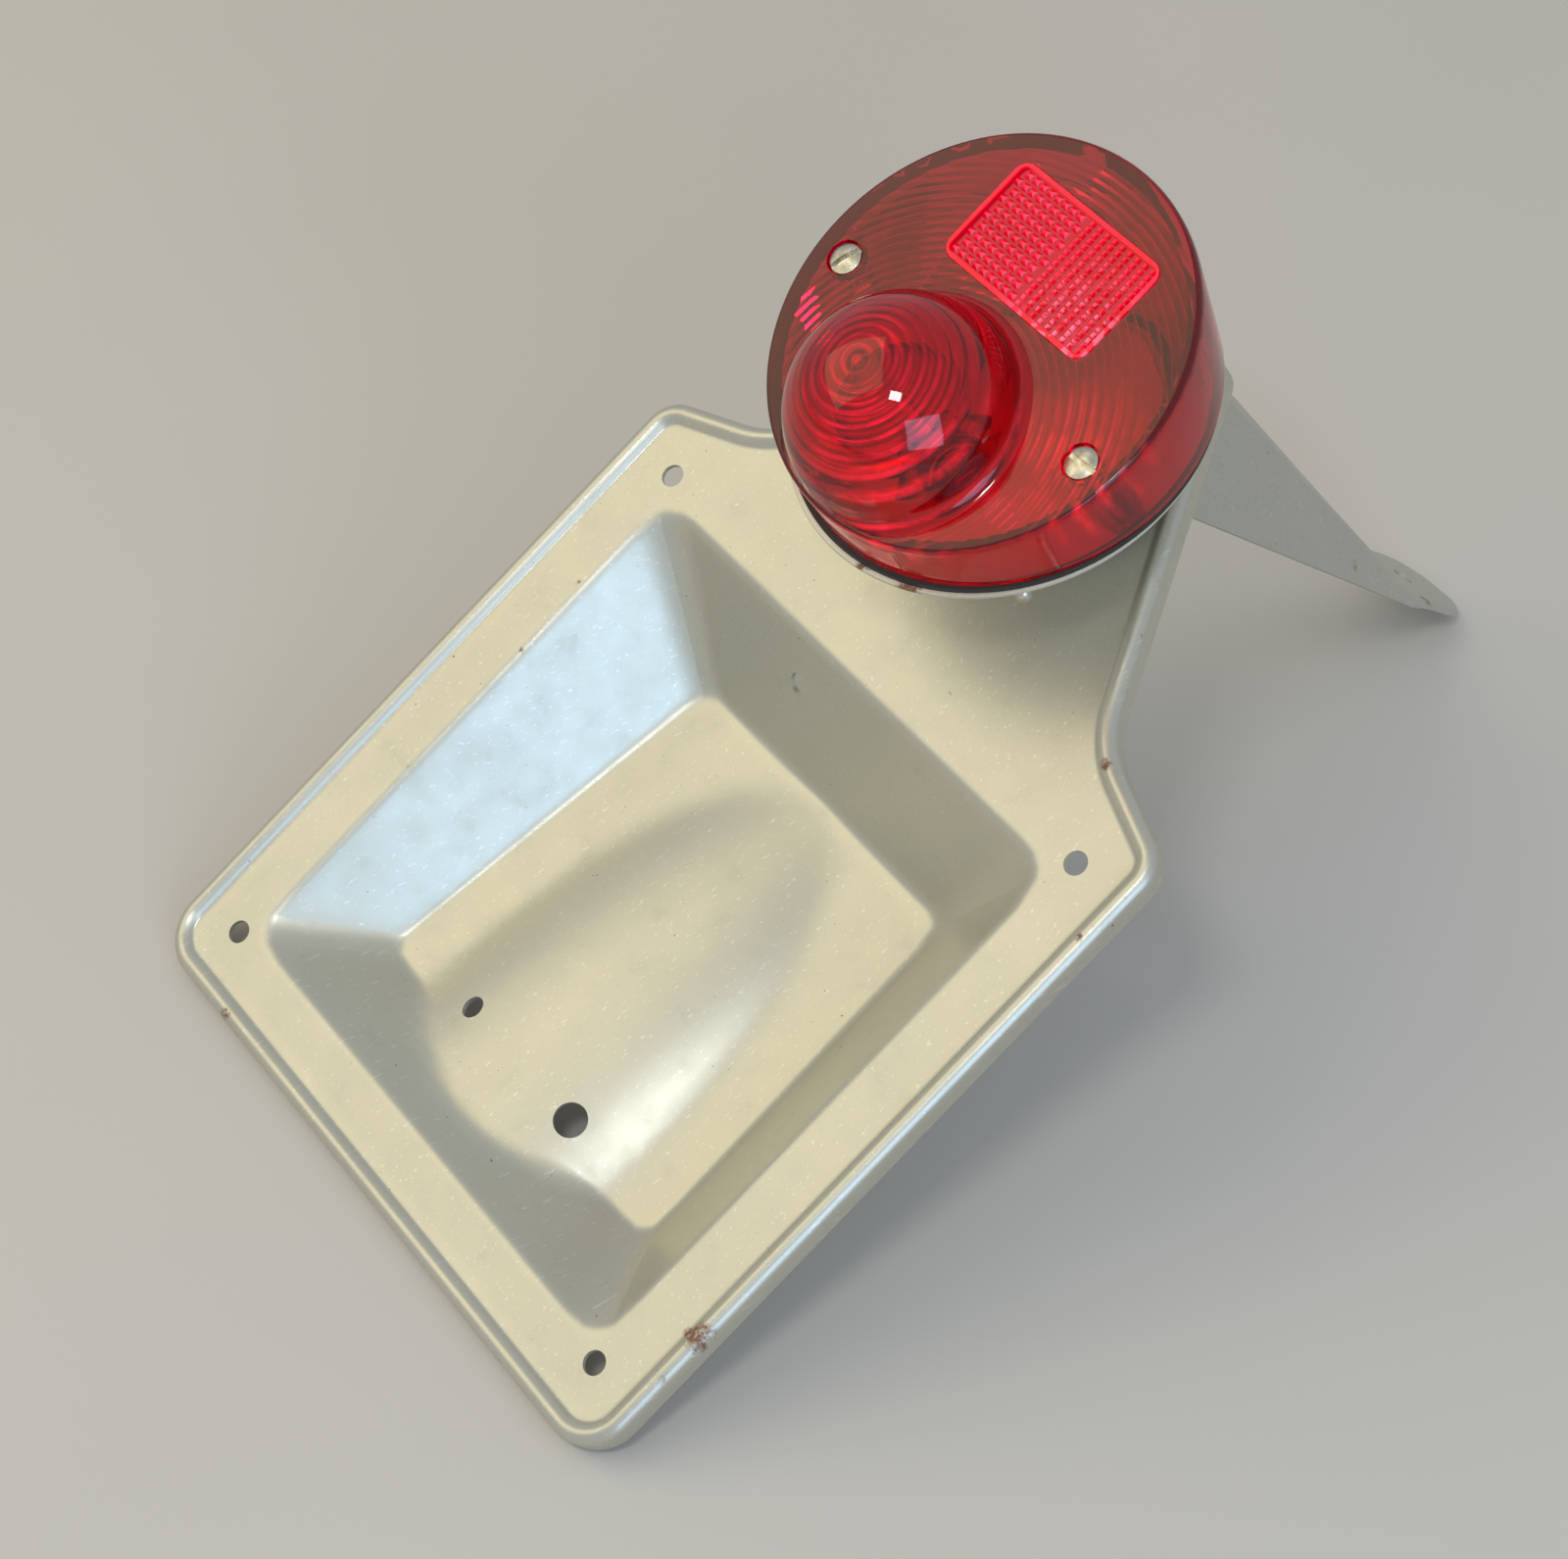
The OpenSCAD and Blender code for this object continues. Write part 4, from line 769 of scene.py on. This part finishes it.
def domeTop():
    r = q["domeR"]
    profile = [(0, r)]
    for i in range(1, 40):
        a = math.radians(90 - i * 2.1)
        profile.append((r * math.cos(a), r * math.sin(a)))
    base = profile[-1]
    for t in (0.35, 0.65, 0.9, 1.0):
        profile.append((base[0] + (r + 2.6 - base[0]) * t ** 1.6, base[1] * (1 - t) ** 1.5 + 0.02))
    profile += [(r + 2.6, -1.0), (0, -1.0)]
    return turned("domeTop", profile, Matrix.Translation((0, bulbY, q["faceZ"])), 128)


# inside of the lens as one turned form: terraces under the dome and fine rings under the face
def lightRings():
    r = q["domeR"] - q["domeWall"] - 0.9
    top, steps = q["faceZ"], q["steps"] + 2
    profile = [(0, top + r), (0.6, top + r - 0.05)]
    for k in range(steps):
        r1, r2 = r * k / steps, r * (k + 1) / steps
        z1, z2 = math.sqrt(r * r - r1 * r1), math.sqrt(max(0, r * r - r2 * r2))
        profile.append((r2 - 0.45, top + z1 - 0.28 * (z1 - z2)))
        profile.append((r2 - 0.12, top + z1 - 0.45 * (z1 - z2)))
        profile.append((r2, top + z2))
    under = top - q["wall"]
    radius, pitch = r + 0.6, 2.0
    profile.append((radius, under))
    while radius < 76:
        profile.append((radius + pitch * 0.78, under - 0.95))
        profile.append((radius + pitch, under))
        radius += pitch
    profile += [(radius, 5), (0, 5)]
    return turned("lightRings", profile, Matrix.Translation((0, bulbY, 0)), 160)


def roundedBlock(name, w, h, r, z0, z1, cy, steps=8):
    shape = []
    for sx, sy, a0 in ((1, 1, 0), (-1, 1, 90), (-1, -1, 180), (1, -1, 270)):
        for i in range(steps + 1):
            a = math.radians(a0 + 90 * i / steps)
            shape.append((sx * (w / 2 - r) + r * math.cos(a), cy + sy * (h / 2 - r) + r * math.sin(a)))
    return loftRings(name, [[(x, y, z0) for x, y in shape], [(x, y, z1) for x, y in shape]])


def windowBlock(grow):
    a = math.radians(q["windowAngle"] - grow)
    reach = 70
    z0, z1 = 2.5 + grow / 4, 10 - grow / 4
    shape = [(0, 0), (-reach * math.sin(a), -reach * math.cos(a)), (reach * math.sin(a), -reach * math.cos(a))]
    rings = [[tuple(onRim @ Vector((x, y, z))) for x, y in shape] for z in (z0, z1)]
    return loftRings("windowBlock", rings)


def makeLens():
    lens = lensBlock(0, 0)
    dome = booleanWith(domeTop(), lensBlock(0.15, 0, 90), "INTERSECT")
    booleanWith(lens, dome, "UNION")
    hollow = booleanWith(lightRings(), lensBlock(q["wall"], 3, 85), "INTERSECT")
    sides = (-q["screwX"], q["screwX"])
    seat, sink = q["pillarTop"] + 0.2, q["faceZ"] - 2.4
    bosses = [punch(x, screwY, seat + 20, 2 * q["bossR"], depth=40) for x in sides]
    booleanWith(hollow, joinPieces("bosses", bosses))
    booleanWith(lens, hollow)
    # stepped wells for the screws: pillar below, shank in the middle, head on top
    pillarR, shankR, headR = q["bossR"] + 0.3, q["screwD"] / 2 + 0.25, q["headD"] / 2 + 0.5
    well = [(0, 20), (pillarR, 20), (pillarR, seat), (shankR, seat), (shankR, sink), (headR, sink),
            (headR, q["faceZ"] - 0.35), (headR + 0.35, q["faceZ"] + 1), (0, q["faceZ"] + 1)]
    tools = [turned("well", well, Matrix.Translation((x, screwY, 0)), 56) for x in sides]
    tools.append(roundedBlock("pocket", q["reflexW"] + 0.2, q["reflexH"] + 0.2, q["reflexR"] + 0.1,
                              q["faceZ"] - 1.6, q["faceZ"] + 4, reflexY))
    booleanWith(lens, joinPieces("lensTools", tools))
    booleanWith(lens, windowBlock(0))
    lens.name = "redLens"
    return lens


lensLook = {"colour": (0.56, 0.001, 0.026), "through": (0.85, 0.06, 0.09), "rough": 0.015, "dust": 0.04,
            "gloss": 0.08}
redLens = softShade(makeLens(), 30)
giveFinish(redLens, redClear("deepRedAcrylic", lensLook["colour"], lensLook["rough"], lensLook["dust"],
                             lensLook["gloss"], lensLook["through"], True))
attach(redLens, "body")
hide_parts("lens")
print("lens made:", len(redLens.data.polygons), "faces")


def makeWindow():
    shell = lensBlock(0.05, 0)
    booleanWith(shell, lensBlock(q["wall"], 3, 85))
    booleanWith(shell, windowBlock(0.4), "INTERSECT")
    shell.name = "clearWindow"
    return shell


clearWindow = softShade(makeWindow(), 30)
giveFinish(clearWindow, redClear("palePinkAcrylic", (0.98, 0.80, 0.78), 0.05))
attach(clearWindow, "body")
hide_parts("plate_window")

# reflector tones: the valley tone is painted shade, the glint colour a painted highlight and glow the strength
# of a painted glow
reflex = {"border": 1.0, "base": 1.0, "thick": 1.9, "sunk": 1.55, "fieldR": 1.6, "cols": 9, "rows": 10,
          "bars": 9, "beads": 15, "prismH": 0.95, "barH": 0.9,
          "dim": (0.66, 0.001, 0.014), "bright": (0.90, 0.004, 0.040), "valleyShade": (0.34, 0.0, 0.012),
          "paintedGlint": (1.0, 0.40, 0.62), "glow": 0.55}


def makeReflex():
    r = reflex
    z = q["faceZ"] - r["sunk"]
    w, h = q["reflexW"] - 0.2, q["reflexH"] - 0.2
    innerW, innerH = w - 2 * r["border"], h - 2 * r["border"]
    plate = roundedBlock("reflexPart", w, h, q["reflexR"] - 0.1, z, z + r["thick"], reflexY)
    booleanWith(plate, roundedBlock("fieldPart", innerW, innerH, r["fieldR"], z + r["base"], z + 4, reflexY))
    fw, fh = innerW - 0.2, innerH - 0.2
    points, faces = [], []

    def prism(cx, cy, rx, ry, height, top):
        n = len(points)
        base = z + r["base"] - 0.15
        for sx, sy in ((-1, -1), (1, -1), (1, 1), (-1, 1)):
            points.append((cx + sx * rx, cy + sy * ry, base))
        for sx, sy in ((-1, -1), (1, -1), (1, 1), (-1, 1)):
            points.append((cx + sx * rx * top[0], cy + sy * ry * top[1], base + height))
        faces.extend([(n, n + 3, n + 2, n + 1), (n + 4, n + 5, n + 6, n + 7)])
        for i in range(4):
            j = (i + 1) % 4
            faces.append((n + i, n + j, n + 4 + j, n + 4 + i))

    # staggered prisms on the left half, beaded bars on the right
    lowY = reflexY - fh / 2
    pitchX, pitchY = fw / 2 / r["cols"], fh / r["rows"]
    for j in range(r["rows"]):
        shift = 0.5 if j % 2 else 0.0
        for i in range(r["cols"]):
            cx, cy = -fw / 2 + (i + 0.5 + shift) * pitchX, lowY + (j + 0.5) * pitchY
            if cx <= -0.3 * pitchX:
                prism(cx, cy, 0.46 * pitchX, 0.44 * pitchY, r["prismH"], (0.25, 0.2))
    barX, beadY = fw / 2 / r["bars"], fh / r["beads"]
    for i in range(r["bars"]):
        for j in range(r["beads"]):
            cx, cy = (i + 0.5) * barX, lowY + (j + 0.5) * beadY
            prism(cx, cy, 0.30 * barX, 0.42 * beadY, r["barH"], (0.35, 0.7))
    return joinPieces("prismReflector", [plate, meshFrom("prismPart", points, faces)])


prismReflector = softShade(makeReflex(), 20)


def reflexFinish():
    mat, nodes, links, shader = newMaterial("brightPrismRed")
    coords = placeCoords(nodes, links)
    # height above the reflector's base: painted shade keeps the valleys between the prisms dark
    out = plateFrame(0, 0, 1) - plateFrame(0, 0, 0)
    base = plateFrame(0, reflexY, q["faceZ"] - 1.6)
    raw = nodes.new("ShaderNodeTexCoord")
    lift = nodes.new("ShaderNodeVectorMath")
    lift.operation = "SUBTRACT"
    links.new(raw.outputs["Object"], lift.inputs[0])
    lift.inputs[1].default_value = base
    along = nodes.new("ShaderNodeVectorMath")
    along.operation = "DOT_PRODUCT"
    links.new(lift.outputs["Vector"], along.inputs[0])
    along.inputs[1].default_value = out.normalized()
    height = nodes.new("ShaderNodeMapRange")
    height.inputs["From Min"].default_value = 0.95 * mm
    height.inputs["From Max"].default_value = 1.75 * mm
    links.new(along.outputs["Value"], height.inputs["Value"])
    glow = noiseOf(nodes, links, coords, 0.12, 3)
    bright = mixColour(nodes, links, rampOf(nodes, links, glow, [(0.35, (0, 0, 0)), (0.65, (1, 1, 1))]),
                       reflex["dim"], reflex["bright"])
    tone = mixColour(nodes, links, height.outputs["Result"], reflex["valleyShade"], bright)
    links.new(tone, shader.inputs["Base Color"])
    shader.inputs["Metallic"].default_value = 0.15
    shader.inputs["Coat Weight"].default_value = 0.35
    shader.inputs["Coat Roughness"].default_value = 0.04
    # painted highlight: the lowest corner gets an emitted pink glint, standing in for the light that the
    # prisms throw back
    corner = nearPoint(nodes, links, plateFrame(15, reflexY - 9, q["faceZ"]), 19 * mm)
    paintedSparkle = mathOf(nodes, links, "MULTIPLY", corner, height.outputs["Result"])
    paintedGlint = rampOf(nodes, links, noiseOf(nodes, links, coords, 0.5, 3), [(0.47, (0, 0, 0)), (0.55, (1, 1, 1))])
    paintedShine = mixColour(nodes, links, mathOf(nodes, links, "MULTIPLY", paintedSparkle, paintedGlint), tone, reflex["paintedGlint"])
    links.new(paintedShine, shader.inputs["Emission Color"])
    shader.inputs["Specular IOR Level"].default_value = 0.25
    # painted glow: the whole reflector emits its own tone at this strength
    shader.inputs["Emission Strength"].default_value = reflex["glow"]
    rough = nodes.new("ShaderNodeMapRange")
    rough.inputs["To Min"].default_value = 0.10
    rough.inputs["To Max"].default_value = 0.30
    links.new(noiseOf(nodes, links, coords, 1.2, 4), rough.inputs["Value"])
    links.new(rough.outputs["Result"], shader.inputs["Roughness"])
    return mat


giveFinish(prismReflector, reflexFinish())
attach(prismReflector, "body")
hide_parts("reflex_reflector")
print("reflex reflector made")


def bowlBlock(inset, past):
    rings = []
    back = circleOf(q["backR"] - 0.7 * inset, Matrix.Translation((0, q["y"], q["backZ"] + inset)))
    top = circleOf(q["rimR"] - 1.9 - inset + 0.55 * past, onRim, -q["gasket"] - 0.2 + past, -0.6)
    rings.append(circleOf(q["backR"] - 0.7 * inset - 1.2, Matrix.Translation((0, q["y"], q["backZ"] + inset))))
    for t in (0.035, 0.12, 0.3, 0.5, 0.7, 0.85, 1.0):
        rings.append([tuple(Vector(a).lerp(Vector(c), t)) for a, c in zip(back, top)])
    return loftRings("bowlBlock", rings)


def makeHousing():
    bowl = bowlBlock(0, 0)
    lipPlace = onRim @ Matrix.Translation((0, -q["lipDrop"] / 2, 0))
    z = -q["gasket"] - 0.1
    r = q["rimR"] + 0.1
    lip = [(0, z - 1.2), (r - 0.5, z - 1.2), (r - 0.12, z - 1.08), (r, z - 0.75), (r, z - 0.35),
           (r - 0.12, z - 0.08), (r - 0.4, z), (0, z)]
    booleanWith(bowl, turned("lipPart", lip, lipPlace, 144), "UNION")
    booleanWith(bowl, bowlBlock(q["housingWall"], 3))
    tools = [punch(x, p["boltY"], 3, p["boltHole"]) for x in (-p["boltX"], p["boltX"])]
    tools.append(punch(0, p["grommetY"], 3, p["grommetHole"]))
    booleanWith(bowl, joinPieces("housingPunches", tools))
    bowl.name = "lampBowl"
    return bowl


lampBowl = softShade(makeHousing(), 35)
housingLook = dict(silverLook, paint=(0.66, 0.62, 0.50), dull=(0.50, 0.44, 0.32), metallic=0.45, rough=0.42)
housingRust = [((8, 86, 38), 7, 1.0), ((20, 90, 36), 9, 1.05), ((30, 96, 34), 6, 0.95)]
giveFinish(lampBowl, silverPaint("agedCreamPaint", housingLook, housingRust, 0.68))
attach(lampBowl, "body")
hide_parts("lamp_housing")
print("housing made")

# colour, metallic, roughness, grain, spread of the roughness, bump and the mottle's second colour
plainLooks = {
    "blackRubber": ((0.030, 0.028, 0.027), 0.0, 0.62, 0.6, 0.12, 0.0002),
    "dullZinc": ((0.62, 0.62, 0.60), 1.0, 0.36, 0.5, 0.2, 0.0001, (0.42, 0.40, 0.36)),
    "tarnishedSteel": ((0.72, 0.70, 0.62), 1.0, 0.24, 0.6, 0.2, 0.0001, (0.42, 0.37, 0.28)),
    "stampedBrass": ((0.80, 0.58, 0.25), 1.0, 0.30, 0.4, 0.2, 0.0001, (0.52, 0.36, 0.15)),
    "brownFibreBoard": ((0.25, 0.12, 0.055), 0.0, 0.55, 1.2, 0.15, 0.0003),
    "drawnWire": ((0.55, 0.55, 0.56), 1.0, 0.30, 1.0, 0.1, 0.0001),
    "blackGlaze": ((0.02, 0.02, 0.024), 0.0, 0.15, 1.0, 0.1, 0.0001),
    "solder": ((0.62, 0.62, 0.63), 1.0, 0.34, 1.4, 0.2, 0.0003),
    "whiteEnamel": ((0.82, 0.80, 0.74), 0.0, 0.32, 0.2, 0.1, 0.0001, (0.74, 0.70, 0.60)),
    "tanFibre": ((0.46, 0.30, 0.17), 0.0, 0.70, 1.5, 0.15, 0.0004),
    "filamentWire": ((0.85, 0.42, 0.12), 1.0, 0.35, 2.0, 0.1, 0.0001)}
keptParts = {
    "blackRubber": ["base_pad", "rim_gasket", "cable_grommet"],
    "dullZinc": ["housing_bolts", "housing_washers", "housing_nuts", "socket_bracket", "bracket_rivets",
                 "socket_rivets", "screw_pillars"],
    "tarnishedSteel": ["lens_screws", "rim_stud"],
    "stampedBrass": ["bulb_socket", "terminal_tags", "contact_studs", "bulb_cap", "bulb_pins"],
    "brownFibreBoard": ["socket_base", "contact_plunger"],
    "drawnWire": ["contact_spring", "filament_posts"],
    "blackGlaze": ["cap_insulator"], "solder": ["bulb_contacts"], "whiteEnamel": ["inner_reflector"],
    "tanFibre": ["screw_washers"], "filamentWire": ["filaments"]}
for look, names in keptParts.items():
    finish = plainFinish(look, *plainLooks[look])
    for name in names:
        giveFinish(frame["nodes"][name], finish)
giveFinish(frame["nodes"]["bulb_glass"], redClear("clearBulbGlass", (0.97, 0.98, 1.0), 0.01, 0.02))
print("finishes set on the kept parts")

floorLook = {"size": 6.0, "below": 0.0002, "colour": (0.65, 0.60, 0.535), "rough": 0.9}


def makeFloor():
    s = floorLook["size"] / 2
    mesh = bpy.data.meshes.new("floor")
    z = -floorLook["below"]
    mesh.from_pydata([(-s, -s, z), (s, -s, z), (s, s, z), (-s, s, z)], [], [(0, 1, 2, 3)])
    obj = bpy.data.objects.new("floor", mesh)
    bpy.context.scene.collection.objects.link(obj)
    mat, nodes, links, shader = newMaterial("paleFloor")
    coords = placeCoords(nodes, links)
    soft = noiseOf(nodes, links, coords, 0.004, 3)
    links.new(mixColour(nodes, links, soft, floorLook["colour"], [c * 0.93 for c in floorLook["colour"]]),
              shader.inputs["Base Color"])
    shader.inputs["Roughness"].default_value = floorLook["rough"]
    mesh.materials.append(mat)


makeFloor()

studioAir = {"colour": (0.73, 0.79, 0.86), "strength": 0.62}  # soft light from all round
world = bpy.data.worlds.new("studio")
bpy.context.scene.world = world
world.use_nodes = True
background = world.node_tree.nodes["Background"]
background.inputs["Color"].default_value = (*studioAir["colour"], 1)
background.inputs["Strength"].default_value = studioAir["strength"]

lights = [
    {"name": "warmCeiling", "place": (-0.75, -0.75, 1.15), "aim": (0, 0, 0.08), "size": (1.4, 1.4),
     "power": 6.7, "colour": (1.0, 0.85, 0.47)},
    {"name": "coolWindow", "place": (1.35, -0.50, 0.75), "aim": (0, -0.05, 0.06), "size": (0.9, 0.8),
     "power": 7.4, "colour": (0.44, 0.67, 1.0)},
    {"name": "softTop", "place": (0.35, -0.55, 1.10), "aim": (0, -0.05, 0.06), "size": (0.20, 0.16),
     "power": 2.4, "colour": (0.93, 0.97, 1.0)},
]
for item in lights:
    data = bpy.data.lights.new(item["name"], "AREA")
    data.shape = "RECTANGLE"
    data.size, data.size_y = item["size"]
    data.energy = item["power"]
    data.color = item["colour"]
    lampObj = bpy.data.objects.new(item["name"], data)
    bpy.context.scene.collection.objects.link(lampObj)
    lampObj.location = item["place"]
    ray = Vector(item["aim"]) - Vector(item["place"])
    lampObj.rotation_euler = ray.to_track_quat("-Z", "Y").to_euler()

# camera at the photograph's angle: image right, view direction and place in the panel's own frame
cameraFit = {"right": (0.593, 0.6908, -0.4137), "ahead": (-0.5378, -0.0425, -0.842),
             "place": (430.7, 75.2, 664.3), "focal": 83.25, "sensor": 36}
data = bpy.data.cameras.new("photoView")
data.sensor_width = cameraFit["sensor"]
data.sensor_fit = "HORIZONTAL"
data.lens = cameraFit["focal"]
data.clip_start, data.clip_end = 0.01, 50
camera = bpy.data.objects.new("photoView", data)
bpy.context.scene.collection.objects.link(camera)
turn = Matrix.Rotation(lean, 3, "X")
right = (turn @ Vector(cameraFit["right"])).normalized()
ahead = (turn @ Vector(cameraFit["ahead"])).normalized()
up = right.cross(ahead).normalized()
right = ahead.cross(up).normalized()
place = plateFrame(*cameraFit["place"])
camera.matrix_world = Matrix((
    (right.x, up.x, -ahead.x, place.x), (right.y, up.y, -ahead.y, place.y),
    (right.z, up.z, -ahead.z, place.z), (0, 0, 0, 1)))
bpy.context.scene.camera = camera
bpy.context.scene.view_settings.view_transform = "Standard"
print("stage, lights and camera set")
